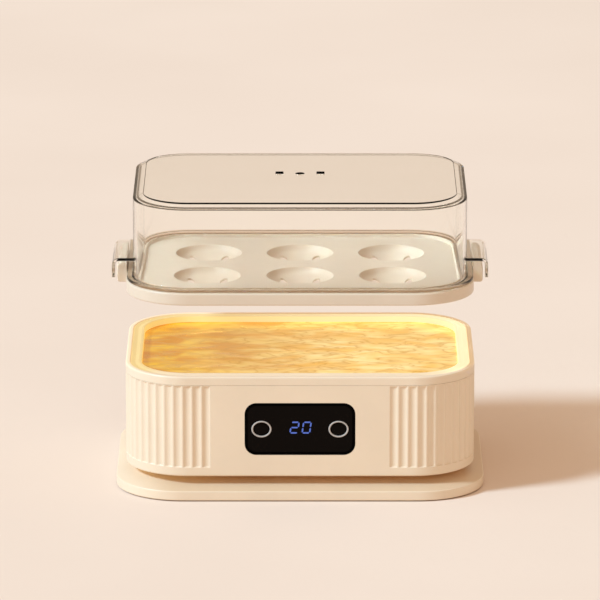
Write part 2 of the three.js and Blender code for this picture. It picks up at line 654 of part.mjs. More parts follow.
function makeTray() {
  const top = TRAY_TOP;
  const deck = top - 0.8;                                 // flat surface inside the ridge
  const under = deck - 2;
  let tray = solid(around(TRAY, [
    [0.7, TRAY_BOTTOM], [0, TRAY_BOTTOM + 0.7], [0, top - 0.9], [0.3, top - 0.3], [0.9, top],
    [6.9, top], [7.2, top + 1.1], [8.1, top + 1.1], [8.6, deck],
  ], false));
  // hollow the underside, leaving a skirt and a lip that drips back into the pan
  tray = cut(tray, around(TRAY, [
    [2.4, TRAY_BOTTOM - 1], [2.4, under], [10.6, under], [10.6, TRAY_BOTTOM - 1],
  ]), around(TRAY, [[12.2, TRAY_BOTTOM - 1], [12.2, under]], false));
  tray = join(tray, around(TRAY, [
    [10.6, TRAY_BOTTOM - 2.6], [10.6, under + 0.5], [12.2, under + 0.5], [12.2, TRAY_BOTTOM - 2.6],
  ]));
  for (const column of [-1, 0, 1]) {
    for (const row of [-0.5, 0.5]) {
      tray = addWell(tray, column * WELL.pitchX, row * WELL.pitchY, deck);
    }
  }
  add("egg_tray", addTrayEars(tray), "creamTray");
}

function addWell(tray, x, y, deck) {
  const floor = deck - 7.4;
  const bowlOutside = turned([
    [0, floor - 1.6], [10, floor - 1.6], [15.6, floor + 0.4], [20.6, deck - 2.4], [20.6, deck - 1],
    [0, deck - 1],
  ], x, y, 16);
  const bowlInside = turned([
    [0, floor], [9.5, floor], [14.5, floor + 1.8], [17.8, floor + 5], [WELL.radius + 0.5, deck + 2],
    [0, deck + 2],
  ], x, y, 16);
  let result = cut(join(tray, bowlOutside), bowlInside, rod(WELL.hole, x, y, floor - 3, floor + 1, 10));
  for (let i = 0; i < 4; i++) {
    const angle = (i + 0.5) * Math.PI / 2;
    result = cut(result, rod(WELL.steamHole, x + WELL.steamRadius * Math.cos(angle),
      y + WELL.steamRadius * Math.sin(angle), floor - 3, floor + 6, 5));
  }
  return result;
}

function addTrayEars(tray) {
  const top = EAR.top - EAR.thick - 0.6;
  const inner = TRAY.width / 2 - 0.1;
  const round = 1.6;
  const shoulder = 4;
  const ear = new THREE.Shape();
  ear.moveTo(inner - 1.6, TRAY_EAR.bottom);
  ear.lineTo(TRAY_EAR.outer - round, TRAY_EAR.bottom);
  ear.absarc(TRAY_EAR.outer - round, TRAY_EAR.bottom + round, round, -Math.PI / 2, 0);
  ear.absarc(TRAY_EAR.outer - shoulder, top - shoulder, shoulder, 0, Math.PI / 2);
  ear.lineTo(inner, top);
  ear.lineTo(inner, TRAY_TOP - 1.2);
  ear.lineTo(inner - 1.6, TRAY_TOP - 1.2);
  const right = prismAlongY(ear, 2 * TRAY_EAR.halfLength, 3);
  return join(tray, right, right.clone().rotateZ(Math.PI));
}

// ---------------------------------------------------------------- lid

function makeLid() {
  const wall = 2;
  let lid = solid(around(LID, [
    [wall, LID_BASE], [-3.7, LID_BASE], [-3.7, LID_BASE + 1.3], [-3.4, LID_BASE + 1.6],
    [-1.2, LID_BASE + 1.6], [-0.3, LID_BASE + 2.1], [0, LID_BASE + 3], [0, LID_SHOULDER - 1],
    [0.3, LID_SHOULDER - 0.3], [1, LID_SHOULDER], [5, LID_TOP - 0.25], [5.8, LID_TOP],
  ], false));
  const inside = around(LID, [
    [wall, LID_BASE - 1], [wall, LID_SHOULDER - 1.8], [wall + 0.8, LID_SHOULDER - 1.2],
    [6.6, LID_TOP - 2],
  ], false);
  lid = join(cut(lid, inside), lidEar(), lidEar().rotateZ(Math.PI));
  add("lid", cut(
    lid,
    box(VENT.width, VENT.length, 6, -VENT.x, VENT.y, LID_TOP - 4),
    rod(VENT.radius, 0, VENT.roundY, LID_TOP - 4, LID_TOP + 2, 16),
    box(VENT.width, VENT.length, 6, VENT.x, VENT.y, LID_TOP - 4),
  ), "tea");
}

// A hooked ear: a flat plate out from the wall that turns down at its outer edge.
function lidEar() {
  const { outer, thick, top, bottom, bend } = EAR;
  const root = LID.width / 2 - 1.2;
  const ear = new THREE.Shape();
  ear.moveTo(root, top - thick);
  ear.lineTo(outer - bend, top - thick);
  ear.absarc(outer - bend, top - bend, bend - thick, Math.PI / 2, 0, true);
  ear.lineTo(outer - thick, bottom);
  ear.lineTo(outer, bottom);
  ear.absarc(outer - bend, top - bend, bend, 0, Math.PI / 2);
  ear.lineTo(root, top);
  return prismAlongY(ear, 2 * EAR.halfLength, 5);
}

// ---------------------------------------------------------------- assembly

makeStand();
makeBottomCover();
makeHousing();
makeCollarAndLight();
makePan();
makeHeater();
makePowerBoard();
makeInlet();
makeWiring();
makePanel();
makeTray();
makeLid();

export default model;
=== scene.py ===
"""The looks of an egg cooker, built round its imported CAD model.

Lengths are in millimetres until a mesh, a light or the camera is made, where MM turns them into
metres. A plan is a rounded rectangle seen from above. A profile is a list of (inset, z) that runs
up the outside of a piece, where inset is how far in from the plan's edge a point lies; a third
number rounds that corner of the profile off with that radius.
"""

import math

import bpy
from mathutils import Matrix, Vector, noise


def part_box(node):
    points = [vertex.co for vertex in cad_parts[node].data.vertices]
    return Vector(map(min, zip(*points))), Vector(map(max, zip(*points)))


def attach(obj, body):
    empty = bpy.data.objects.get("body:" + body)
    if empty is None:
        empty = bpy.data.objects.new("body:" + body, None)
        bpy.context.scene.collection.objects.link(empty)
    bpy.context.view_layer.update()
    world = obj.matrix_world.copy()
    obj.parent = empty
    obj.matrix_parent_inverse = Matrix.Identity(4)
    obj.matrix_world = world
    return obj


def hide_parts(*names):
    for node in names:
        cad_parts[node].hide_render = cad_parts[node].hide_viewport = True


MM = 0.001
GAP = 0.3                       # what the CAD leaves between pieces that touch
FINE = 20                       # steps in a quarter turn of a plan's corner
ROUND = 4                       # steps in a rounded corner of a profile
TURNED = 48                     # sides of a turned piece
SIDES = (("left", -1), ("right", 1))
CREASE = math.radians(38)       # edges sharper than this stay sharp

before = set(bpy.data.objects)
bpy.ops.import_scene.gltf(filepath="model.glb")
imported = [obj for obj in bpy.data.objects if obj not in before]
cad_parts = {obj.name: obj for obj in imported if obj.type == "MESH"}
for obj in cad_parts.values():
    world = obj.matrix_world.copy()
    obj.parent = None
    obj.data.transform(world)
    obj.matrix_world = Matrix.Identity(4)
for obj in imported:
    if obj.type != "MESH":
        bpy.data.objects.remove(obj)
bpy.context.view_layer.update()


# ---------------------------------------------------------------- camera, light and floor

CAMERA_DISTANCE = 3432.4
CAMERA_PITCH = math.radians(14.7)
CAMERA_AIM = 97.4               # height of the point in the middle of the picture
CAMERA_LENS = 360.0
CAMERA_REACH = 60000            # nothing further away than this is drawn
SENSOR = 36.0

LAMP_DISTANCE = 3000
KEY_SPREAD = 10.3               # how wide the key lamp looks, in degrees
OVERHEAD_WIDTH = 2400
FLOOR_REACH = 30000


def make_camera():
    data = bpy.data.cameras.new("camera")
    data.lens = CAMERA_LENS
    data.sensor_width = SENSOR
    data.clip_end = CAMERA_REACH * MM
    camera = bpy.data.objects.new("camera", data)
    bpy.context.scene.collection.objects.link(camera)
    back = CAMERA_DISTANCE * math.cos(CAMERA_PITCH)
    up = CAMERA_AIM + CAMERA_DISTANCE * math.sin(CAMERA_PITCH)
    camera.location = Vector((0, -back, up)) * MM
    camera.rotation_euler = (math.pi / 2 - CAMERA_PITCH, 0, 0)
    bpy.context.scene.camera = camera


def add_lamp(name, kind, azimuth, elevation, power, color):
    """Adds a lamp that faces the middle of the object. Azimuth 0 is in front, -90 on the left."""
    data = bpy.data.lights.new(name, kind)
    data.energy = power
    data.color = color
    lamp = bpy.data.objects.new(name, data)
    bpy.context.scene.collection.objects.link(lamp)
    turn, rise = math.radians(azimuth), math.radians(elevation)
    away = Vector((
        math.sin(turn) * math.cos(rise), -math.cos(turn) * math.cos(rise), math.sin(rise),
    ))
    lamp.location = (away * LAMP_DISTANCE + Vector((0, 0, CAMERA_AIM))) * MM
    lamp.rotation_euler = away.to_track_quat("Z", "Y").to_euler()
    return data


def make_world(color, strength):
    world = bpy.data.worlds.new("studio")
    bpy.context.scene.world = world
    world.use_nodes = True
    feed(world.node_tree.nodes["Background"], {"Color": (*color, 1), "Strength": strength})


def make_floor():
    reach = FLOOR_REACH * MM
    mesh = bpy.data.meshes.new("floor")
    corners = [(-reach, -reach, 0), (reach, -reach, 0), (reach, reach, 0), (-reach, reach, 0)]
    mesh.from_pydata(corners, [], [(0, 1, 2, 3)])
    floor = bpy.data.objects.new("floor", mesh)
    bpy.context.scene.collection.objects.link(floor)
    material, tree, shader = new_material("floor")
    place = node(tree, "ShaderNodeTexCoord").outputs["Object"]
    cloud = noise_texture(tree, place, scale=3, detail=3)
    feed(shader, {
        "Base Color": ramp(tree, cloud, [
            (0.35, (0.80, 0.655, 0.560)), (0.65, (0.83, 0.685, 0.590)),
        ]),
        "Roughness": 0.9, "Specular IOR Level": 0.0,
    })
    mesh.materials.append(material)


def make_studio():
    """Even warm light from all round, a soft key lamp on the left and a little light from above.
    The key is a far lamp, which lights the whole floor alike."""
    bpy.context.scene.view_settings.view_transform = "Standard"
    make_world(color=(1.0, 0.79, 0.59), strength=0.64)
    key = add_lamp("key", "SUN", azimuth=-67, elevation=40, power=3.4, color=(0.58, 0.82, 1.0))
    key.angle = math.radians(KEY_SPREAD)
    overhead = add_lamp("overhead", "AREA", azimuth=0, elevation=84, power=8,
                        color=(1.0, 0.84, 0.68))
    overhead.shape = "DISK"
    overhead.size = OVERHEAD_WIDTH * MM


# ---------------------------------------------------------------- material kit

CREAM = (0.86, 0.70, 0.53)
SHELL = {"color": CREAM, "roughness": 0.42, "coat": 0.08, "scatter": 0.05}
GRAIN_SCALE = 1600              # waves per metre of the fine grain on moulded pieces
BLACK = (0, 0, 0, 1)


def parts_of(material):
    """A material with its node tree and its shader, which is where a look is added."""
    tree = material.node_tree
    return material, tree, tree.nodes["Principled BSDF"]


def new_material(name):
    material = bpy.data.materials.new(name)
    material.use_nodes = True
    return parts_of(material)


def feed(made, values):
    """Sets a node's inputs, each to a number, a colour or the socket that feeds it."""
    for key, value in values.items():
        if isinstance(value, bpy.types.NodeSocket):
            made.id_data.links.new(value, made.inputs[key])
        else:
            made.inputs[key].default_value = value


def node(tree, kind, values=None, **settings):
    """Adds a node with those settings and with its inputs fed."""
    made = tree.nodes.new(kind)
    for key, value in settings.items():
        setattr(made, key, value)
    feed(made, values or {})
    return made


def noise_texture(tree, place, scale, detail=2.0, roughness=0.5, distortion=0.0):
    """Cloudy noise, with scale in waves per metre."""
    return node(tree, "ShaderNodeTexNoise", {
        "Vector": place, "Scale": scale, "Detail": detail, "Roughness": roughness,
        "Distortion": distortion,
    }).outputs["Fac"]


def ramp(tree, factor, stops):
    """A colour ramp through (position, linear colour) stops."""
    made = node(tree, "ShaderNodeValToRGB", {"Fac": factor})
    elements = made.color_ramp.elements
    while len(elements) < len(stops):
        elements.new(0.5)
    for element, (position, color) in zip(elements, stops):
        element.position = position
        element.color = (*color, 1)
    return made.outputs["Color"]


def remap(tree, factor, low, high):
    """A 0 to 1 factor brought to the range from low to high."""
    return node(tree, "ShaderNodeMapRange", {
        "Value": factor, "To Min": low, "To Max": high,
    }).outputs["Result"]


def remap_between(tree, value, low, high):
    """Goes from 0 to 1 as a value goes from low to high."""
    return node(tree, "ShaderNodeMapRange", {
        "Value": value, "From Min": low, "From Max": high,
    }).outputs["Result"]


def scaled_place(tree, x=1.0, y=1.0, z=1.0):
    """Object coordinates, stretched along each axis."""
    place = node(tree, "ShaderNodeTexCoord").outputs["Object"]
    if (x, y, z) == (1.0, 1.0, 1.0):
        return place
    return node(tree, "ShaderNodeMapping", {"Vector": place, "Scale": (x, y, z)}).outputs["Vector"]


def bump(tree, height, depth, strength=1.0, normal=None):
    """A bump of that depth in millimetres, laid over another normal if one is given."""
    values = {"Height": height, "Distance": depth * MM, "Strength": strength}
    if normal is not None:
        values["Normal"] = normal
    return node(tree, "ShaderNodeBump", values).outputs["Normal"]


def shade(color, factor):
    return tuple(channel * factor for channel in color)


def moulded(name, color, roughness, grain=0.012, specular=0.5, coat=0.0, scatter=0.0):
    """Injection-moulded plastic: faint mottling, a fine grain and slight sink waves."""
    material, tree, shader = new_material(name)
    place = scaled_place(tree)
    mottle = noise_texture(tree, place, scale=28, detail=4, roughness=0.6)
    handling = noise_texture(tree, place, scale=65, detail=5, roughness=0.65)
    waves = bump(tree, noise_texture(tree, place, scale=38, detail=1), 0.05, 0.5)
    fine = noise_texture(tree, place, scale=GRAIN_SCALE, detail=2)
    feed(shader, {
        "Base Color": ramp(tree, mottle, [(0.3, shade(color, 0.965)), (0.7, shade(color, 1.02))]),
        "Roughness": remap(tree, handling, roughness - 0.06, roughness + 0.08),
        "Normal": bump(tree, fine, grain, 1.0, waves),
        "Specular IOR Level": specular,
        "Coat Weight": coat, "Coat Roughness": 0.12,
        "Subsurface Weight": scatter, "Subsurface Radius": (0.004, 0.0025, 0.0015),
    })
    return material


def brushed_metal(name, color, roughness, stretch=(1, 30, 30), scale=90):
    """Bare sheet or turned metal, with brush lines drawn along the axis that is stretched least."""
    material, tree, shader = new_material(name)
    place = scaled_place(tree, *stretch)
    lines = noise_texture(tree, place, scale=scale, detail=4, roughness=0.7)
    feed(shader, {
        "Base Color": ramp(tree, lines, [(0.25, shade(color, 0.82)), (0.75, shade(color, 1.05))]),
        "Roughness": remap(tree, lines, roughness - 0.08, roughness + 0.14),
        "Normal": bump(tree, lines, 0.01, 0.6),
        "Metallic": 1.0,
    })
    return material


def circuit_board(name):
    """Green solder mask with fine tracks and tinned pads."""
    material, tree, shader = new_material(name)
    place = scaled_place(tree)
    tracks = node(tree, "ShaderNodeTexVoronoi", {"Vector": place, "Scale": 260},
                  feature="F1", distance="MANHATTAN").outputs["Distance"]
    mask = ramp(tree, tracks, [(0.30, (0.006, 0.10, 0.03)), (0.36, (0.012, 0.19, 0.06))])
    dots = node(tree, "ShaderNodeTexVoronoi", {"Vector": place, "Scale": 190},
                feature="F1").outputs["Distance"]
    pads = ramp(tree, dots, [(0.13, (1, 1, 1)), (0.17, (0, 0, 0))])
    feed(shader, {
        "Base Color": blended(tree, pads, mask, (0.7, 0.7, 0.68, 1)),
        "Roughness": remap(tree, tracks, 0.28, 0.42),
        "Normal": bump(tree, tracks, 0.03, 0.4),
    })
    return material


def along_axis(tree, axis, low, high):
    """Goes from 0 to 1 between two places, in millimetres, on one axis of the object."""
    place = node(tree, "ShaderNodeTexCoord").outputs["Object"]
    value = node(tree, "ShaderNodeSeparateXYZ", {"Vector": place}).outputs[axis]
    return remap_between(tree, value, low * MM, high * MM)


def facing_up(tree):
    """How far the object's surface faces up: 1 on top, 0 on its sides."""
    facing = node(tree, "ShaderNodeTexCoord").outputs["Normal"]
    return node(tree, "ShaderNodeSeparateXYZ", {"Vector": facing}).outputs["Z"]


def blended(tree, factor, first, second):
    return node(tree, "ShaderNodeMix", {"Factor": factor, "A": first, "B": second},
                data_type="RGBA").outputs["Result"]


def gilt(name):
    """Bright gilt coating with painted light on it: light cells between thin darker streaks,
    painted like caustics, and a painted warm glow, deeper in colour on the left and at the back
    and stronger to the right."""
    material, tree, shader = new_material(name)
    place = scaled_place(tree, 0.5, 1.0, 1.0)
    cells = noise_texture(tree, place, scale=120, detail=2.0, roughness=0.45, distortion=0.5)
    # painted caustics: light cells between thin darker streaks
    streaks = ramp(tree, cells, [
        (0.36, (1, 1, 1)), (0.44, (0.8, 0.8, 0.8)), (0.475, (0.25, 0.25, 0.25)),
        (0.51, (0.7, 0.7, 0.7)), (0.58, (1, 1, 1)),
    ])
    broad = noise_texture(tree, place, scale=75, detail=2.0, distortion=0.4)
    deep = ramp(tree, broad, [(0.40, (0.68, 0.28, 0.004)), (0.60, (0.86, 0.50, 0.02))])
    pale = ramp(tree, broad, [(0.40, (0.96, 0.66, 0.18)), (0.60, (1.0, 0.87, 0.40))])
    # painted shade: the glow's colour is deeper on the left and at the back
    gold = blended(tree, along_axis(tree, "X", -75, 15), deep, pale)
    gold = blended(tree, along_axis(tree, "Y", 72, 0), blended(tree, 0.45, gold, deep), gold)
    mixed = blended(tree, streaks, (0.66, 0.37, 0.06, 1), gold)
    # painted glow: the pan gives off its own colour, stronger to the right
    feed(shader, {
        "Base Color": mixed, "Emission Color": mixed,
        "Emission Strength": remap(tree, along_axis(tree, "X", -70, 30), 0.27, 0.46),
        "Metallic": 0.5,
        "Roughness": remap(tree, cells, 0.12, 0.24),
        "Normal": bump(tree, noise_texture(tree, place, scale=420, detail=2), 0.02, 0.5),
    })
    return material


def glowing(name, color, light, strength):
    """A moulded diffuser that is lit from inside."""
    material, tree, shader = parts_of(moulded(name, color, 0.35, grain=0.006))
    cloud = noise_texture(tree, scaled_place(tree), scale=22, detail=2)
    feed(shader, {
        "Emission Color": ramp(tree, cloud, [(0.3, shade(light, 0.9)), (0.7, light)]),
        "Emission Strength": strength,
    })
    return material


def lit_ledge(name):
    """The ledge round the pan, a diffuser lit from inside, with its light partly painted: none in
    front, yellow on the left, nearly white on the right, and brighter through its walls than on
    top. Its base colour is painted a darker yellow wherever it glows."""
    material, tree, shader = new_material(name)
    place = scaled_place(tree)
    cloud = noise_texture(tree, place, scale=22, detail=2)
    # painted light: plain cream and no glow in front, a darker yellow base and a glow behind
    to_back = along_axis(tree, "Y", -66, -52)
    plain = ramp(tree, cloud, [(0.3, shade(CREAM, 0.95)), (0.7, CREAM)])
    lit = ramp(tree, cloud, [(0.3, (0.44, 0.34, 0.18)), (0.7, (0.49, 0.38, 0.20))])
    # painted light: the glow runs from yellow on the left to nearly white on the right
    across = along_axis(tree, "X", -95, 95)
    walls = ramp(tree, across, [
        (0.05, (0.66, 0.47, 0.15)), (0.5, (0.78, 0.66, 0.33)), (0.95, (0.88, 0.78, 0.45)),
    ])
    top = ramp(tree, across, [
        (0.05, (0.44, 0.31, 0.10)), (0.5, (0.62, 0.52, 0.29)), (0.95, (0.80, 0.71, 0.45)),
    ])
    # painted light: brighter on the walls than on top
    glow = blended(tree, remap_between(tree, facing_up(tree), 0.2, 0.95), walls, top)
    feed(shader, {
        "Base Color": blended(tree, to_back, plain, lit),
        "Emission Color": blended(tree, to_back, (0.03, 0.02, 0.01, 1), glow),
        "Emission Strength": 1.0,
        "Roughness": remap(tree, cloud, 0.32, 0.42),
        "Normal": bump(tree, noise_texture(tree, place, scale=1400, detail=2), 0.006),
    })
    return material


def lip_with_painted_glow(name, top):
    """The shell's plastic with a faint painted glow along its upper edge, whose height is top, and
    none in front: painted light that stands in for the ledge's light coming through."""
    material, tree, shader = parts_of(moulded(name, **SHELL))
    # painted glow along the lip's top 1.6 mm, none in front
    height = along_axis(tree, "Z", top - 1.6, top)
    light = ramp(tree, height, [(0.0, (0, 0, 0)), (1.0, (0.24, 0.18, 0.10))])
    feed(shader, {
        "Emission Color": blended(tree, along_axis(tree, "Y", -66, -40), BLACK, light),
        "Emission Strength": 1.0,
    })
    return material


def stand_with_painted_shade(name):
    """The shell's plastic with painted shade: a little deeper in colour where it faces up, away
    from its left end.
    """
    material, tree, shader = parts_of(moulded(name, **SHELL))
    # painted shade on the top faces, fading out at the left end
    painted_shade_on_top = ramp(tree, facing_up(tree), [(0.6, (0, 0, 0)), (0.95, (0.8, 0.8, 0.8))])
    deeper = node(tree, "ShaderNodeMix", {
        "Factor": blended(tree, along_axis(tree, "X", -104, -72), BLACK, painted_shade_on_top),
        "A": shader.inputs["Base Color"].links[0].from_socket, "B": (0.80, 0.71, 0.61, 1),
    }, data_type="RGBA", blend_type="MULTIPLY").outputs["Result"]
    feed(shader, {"Base Color": deeper})
    return material


def plinth_with_painted_glow(name):
    """The shell's plastic with a painted warm glow that lightens the shade in the gap under the
    body, faint but for its left end."""
    material, tree, shader = parts_of(moulded(name, CREAM, 0.42))
    # painted warm glow, strongest at the left end
    glow = ramp(tree, along_axis(tree, "X", -95, -40), [
        (0.0, (0.34, 0.27, 0.15)), (0.45, (0.19, 0.13, 0.055)), (1.0, (0.09, 0.040, 0.010)),
    ])
    feed(shader, {"Emission Color": glow, "Emission Strength": 1.0})
    return material


def clear_plastic(name, tint, shadow_tint, part, edges):
    """Tinted clear plastic. Light for the shadows goes straight through it, a little dimmed. Dark
    lines are painted into the tint in bands of height along the part's edges, as painted shade for
    its dark edges: each is (low, high, tint), with its heights measured down from the part's top."""
    material, tree, shader = new_material(name)
    low, high = (corner.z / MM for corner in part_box(part))
    stops = [(0.0, tint)]
    for below, above, painted_edge_shade in edges:
        start, end = ((high - depth - low) / (high - low) for depth in (below, above))
        stops += [(start, tint), (start + 0.002, painted_edge_shade), (end - 0.002, painted_edge_shade), (end, tint)]
    place = scaled_place(tree)
    smears = noise_texture(tree, place, scale=24, detail=4, roughness=0.6)
    feed(shader, {
        "Base Color": ramp(tree, along_axis(tree, "Z", low, high), stops),
        "Transmission Weight": 1.0, "IOR": 1.23,
        "Roughness": remap(tree, smears, 0.0, 0.035),
        "Normal": bump(tree, noise_texture(tree, place, scale=17, detail=1), 0.03, 0.3),
    })
    through = node(tree, "ShaderNodeBsdfTransparent", {"Color": (*shadow_tint, 1)})
    mixed = node(tree, "ShaderNodeMixShader", {
        0: node(tree, "ShaderNodeLightPath").outputs["Is Shadow Ray"],
        1: shader.outputs["BSDF"], 2: through.outputs["BSDF"],
    })
    feed(tree.nodes["Material Output"], {"Surface": mixed.outputs["Shader"]})
    return material


looks = {}


def add_look(make, name, *values, **options):
    looks[name] = make(name, *values, **options)


add_look(moulded, "cream_shell", **SHELL)
add_look(lip_with_painted_glow, "cream_lip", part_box("rim_collar")[1].z / MM)
add_look(stand_with_painted_shade, "cream_stand")
add_look(plinth_with_painted_glow, "cream_plinth")
add_look(moulded, "cream_tray", (0.76, 0.63, 0.50), 0.30, grain=0.005, specular=0.3, scatter=0.05)
# painted shade: a brown line at the flange and a near-black line at the shoulder
add_look(clear_plastic, "clear_tea", (1.0, 0.995, 0.975), (0.50, 0.45, 0.41), "lid", [
    (49.9, 48.5, (0.60, 0.46, 0.34)), (3.25, 2.55, (0.04, 0.03, 0.02)),
])
add_look(lit_ledge, "glow_ring")
add_look(gilt, "gilt_coating")
add_look(moulded, "black_gloss", (0.0034, 0.002, 0.0014), 0.16, grain=0.0, specular=0.05)
add_look(moulded, "panel_border", (0.0006, 0.0005, 0.0005), 0.3, grain=0.0, specular=0.02)
add_look(glowing, "display_light", (0.03, 0.05, 0.2), (0.075, 0.15, 0.55), 0.75)
add_look(moulded, "silver_ring", (0.50, 0.45, 0.42), 0.42, grain=0.004)
add_look(moulded, "soft_rubber", (0.26, 0.23, 0.20), 0.8, grain=0.03)
add_look(moulded, "silicone", (0.70, 0.65, 0.57), 0.6)
add_look(brushed_metal, "bare_aluminium", (0.66, 0.67, 0.68), 0.36)
add_look(brushed_metal, "bare_steel", (0.52, 0.53, 0.55), 0.34, (30, 30, 1))
add_look(brushed_metal, "screw_steel", (0.55, 0.55, 0.56), 0.3, (1, 1, 1), 700)
add_look(brushed_metal, "brass_pin", (0.70, 0.50, 0.20), 0.28, (30, 1, 30))
add_look(circuit_board, "circuit_board")
add_look(moulded, "black_plastic", (0.014, 0.014, 0.015), 0.45, grain=0.02)
add_look(moulded, "ivory_sleeve", (0.78, 0.71, 0.56), 0.6)
add_look(moulded, "yellow_tape", (0.68, 0.46, 0.03), 0.35)
add_look(moulded, "blue_plastic", (0.02, 0.08, 0.32), 0.38)
add_look(moulded, "red_wire", (0.42, 0.03, 0.02), 0.5)
add_look(moulded, "white_wire", (0.76, 0.75, 0.70), 0.5)
add_look(moulded, "grey_wire", (0.30, 0.32, 0.34), 0.5)


# ---------------------------------------------------------------- geometry kit


class Plan:
    """A rounded rectangle seen from above, centred on the axis."""

    def __init__(self, width, depth, radius):
        self.width = width
        self.depth = depth
        self.radius = radius

    def stations(self, corner_steps=FINE, side_steps=1):
        """Points round the edge, anticlockwise, each with its outward direction."""
        found = []
        half_x = self.width / 2 - self.radius
        half_y = self.depth / 2 - self.radius
        corners = [(half_x, half_y), (-half_x, half_y), (-half_x, -half_y), (half_x, -half_y)]
        for quarter, (x, y) in enumerate(corners):
            for step in range(corner_steps + 1):
                angle = (quarter + step / corner_steps) * math.pi / 2
                out = Vector((math.cos(angle), math.sin(angle)))
                found.append((Vector((x, y)) + out * self.radius, out))
            place, out = found[-1]
            following = corners[(quarter + 1) % 4]
            target = Vector(following) + out * self.radius
            for step in range(1, side_steps):
                found.append((place.lerp(target, step / side_steps), out))
        return found


def rounded(profile, closed):
    """The profile with an arc in place of each corner that names a radius."""
    points = [Vector(point[:2]) for point in profile]
    radii = [point[2] if len(point) > 2 else 0 for point in profile]
    smooth = []
    for i, (corner, radius) in enumerate(zip(points, radii)):
        if not radius or (not closed and i in (0, len(points) - 1)):
            smooth.append(corner)
            continue
        before = (points[i - 1] - corner).normalized()
        after = (points[(i + 1) % len(points)] - corner).normalized()
        half = before.angle(after) / 2
        start = corner + before * (radius / math.tan(half))
        end = corner + after * (radius / math.tan(half))
        middle = corner + (before + after).normalized() * (radius / math.sin(half))
        first, last = (start - middle).normalized(), (end - middle).normalized()
        for step in range(ROUND + 1):
            smooth.append(middle + first.slerp(last, step / ROUND) * radius)
    return smooth


def new_object(name, vertices, faces):
    """A mesh object from points in millimetres."""
    mesh = bpy.data.meshes.new(name)
    mesh.from_pydata([Vector(v) * MM for v in vertices], [], faces)
    mesh.validate()
    made = bpy.data.objects.new(name, mesh)
    bpy.context.scene.collection.objects.link(made)
    return made


def loft(name, rows, closed):
    """A skin through rows of points, each with as many as the next. Closed, the last row joins
    the first and it makes a ring; otherwise the first and last rows are capped."""
    count = len(rows[0])
    vertices = [point for row in rows for point in row]
    faces = []
    for row in range(len(rows) if closed else len(rows) - 1):
        low = row * count
        high = (row + 1) % len(rows) * count
        for i in range(count):
            j = (i + 1) % count
            faces.append((low + i, low + j, high + j, high + i))
    if not closed:
        last = (len(rows) - 1) * count
        faces.append(tuple(reversed(range(count))))
        faces.append(tuple(range(last, last + count)))
    return new_object(name, vertices, faces)


def around(name, plan, profile, closed=True, corner_steps=FINE):
    stations = plan.stations(corner_steps)
    rows = [
        [(*(place - out * point.x), point.y) for place, out in stations]
        for point in rounded(profile, closed)
    ]
    return loft(name, rows, closed)


def turned(name, profile, place=None, sides=TURNED):
    """Turned about a vertical axis: the profile is (radius, height), from the axis to the axis.
    place is a matrix in millimetres that puts it where it goes."""
    rows = []
    for radius, height in rounded([(r, h, *rest) for r, h, *rest in profile[1:-1]], False):
        angles = [2 * math.pi * i / sides for i in range(sides)]
        rows.append([(radius * math.cos(a), radius * math.sin(a), height) for a in angles])
    made = loft(name, rows, False)
    if place is not None:
        move(made, place)
    return made


def move(made, place):
    """Moves an object's points by a matrix whose lengths are in millimetres."""
    scaled = place.copy()
    scaled.translation = place.translation * MM
    made.data.transform(scaled)


def at(x, y, z=0.0):
    return Matrix.Translation((x, y, z))


def facing_front(x, z):
    """Turns a piece that was drawn lying down so that its top faces the front."""
    return at(x, 0, z) @ Matrix.Rotation(math.pi / 2, 4, "X")


def facing_back(x, z):
    return at(x, 0, z) @ Matrix.Rotation(math.pi, 4, "Z") @ Matrix.Rotation(math.pi / 2, 4, "X")


def prism_along_y(name, outline, half_length, rounding):
    """An outline of (x, z) points, anticlockwise seen from the front, extruded along Y and rounded
    at every edge sharper than the crease angle."""
    rows = [[(x, y, z) for x, z in outline] for y in (half_length, -half_length)]
    made = loft(name, rows, False)
    bevel = made.modifiers.new("Bevel", "BEVEL")
    bevel.width = rounding * MM
    bevel.segments = 3
    bevel.limit_method = "ANGLE"
    bevel.angle_limit = CREASE
    apply_modifiers(made)
    return made


def apply_modifiers(made):
    bpy.context.view_layer.update()
    evaluated = made.evaluated_get(bpy.context.evaluated_depsgraph_get())
    result = bpy.data.meshes.new_from_object(evaluated)
    made.modifiers.clear()
    made.data = result


def combine(made, other, operation):
    """Joins (UNION) or cuts (DIFFERENCE) made with other, which is used up."""
    modifier = made.modifiers.new("Boolean", "BOOLEAN")
    modifier.operation = operation
    modifier.solver = "EXACT"
    modifier.object = other
    apply_modifiers(made)
    bpy.data.objects.remove(other)


def together(name, parts):
    """Several objects that don't touch, as one, so that one cut or join takes them all."""
    vertices, faces = [], []
    for part in parts:
        start = len(vertices)
        vertices += [vertex.co / MM for vertex in part.data.vertices]
        faces += [tuple(start + i for i in face.vertices) for face in part.data.polygons]
        bpy.data.objects.remove(part)
    return new_object(name, vertices, faces)


def both_ends(name, make_one):
    """A piece at the right end and its like at the left end, as one object."""
    right, left = make_one(), make_one()
    move(left, Matrix.Rotation(math.pi, 4, "Z"))
    return together(name, [right, left])


def finished(made, slot, body, *stands_for, look=None):
    """Gives a piece its look, its smooth shading and its body. The look is the slot's own unless
    another is named."""
    mesh = made.data
    mesh.materials.clear()
    mesh.materials.append(looks[look or slot])
    mesh.polygons.foreach_set("use_smooth", [True] * len(mesh.polygons))
    mesh.set_sharp_from_angle(angle=CREASE)
    weighted = made.modifiers.new("Weighted normals", "WEIGHTED_NORMAL")
    weighted.keep_sharp = True
    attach(made, body)
    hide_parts(*stands_for)


def box_of(node_name):
    low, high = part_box(node_name)
    return low / MM, high / MM


def plan_of(node_name, radius):
    low, high = box_of(node_name)
    return Plan(high.x - low.x, high.y - low.y, radius)


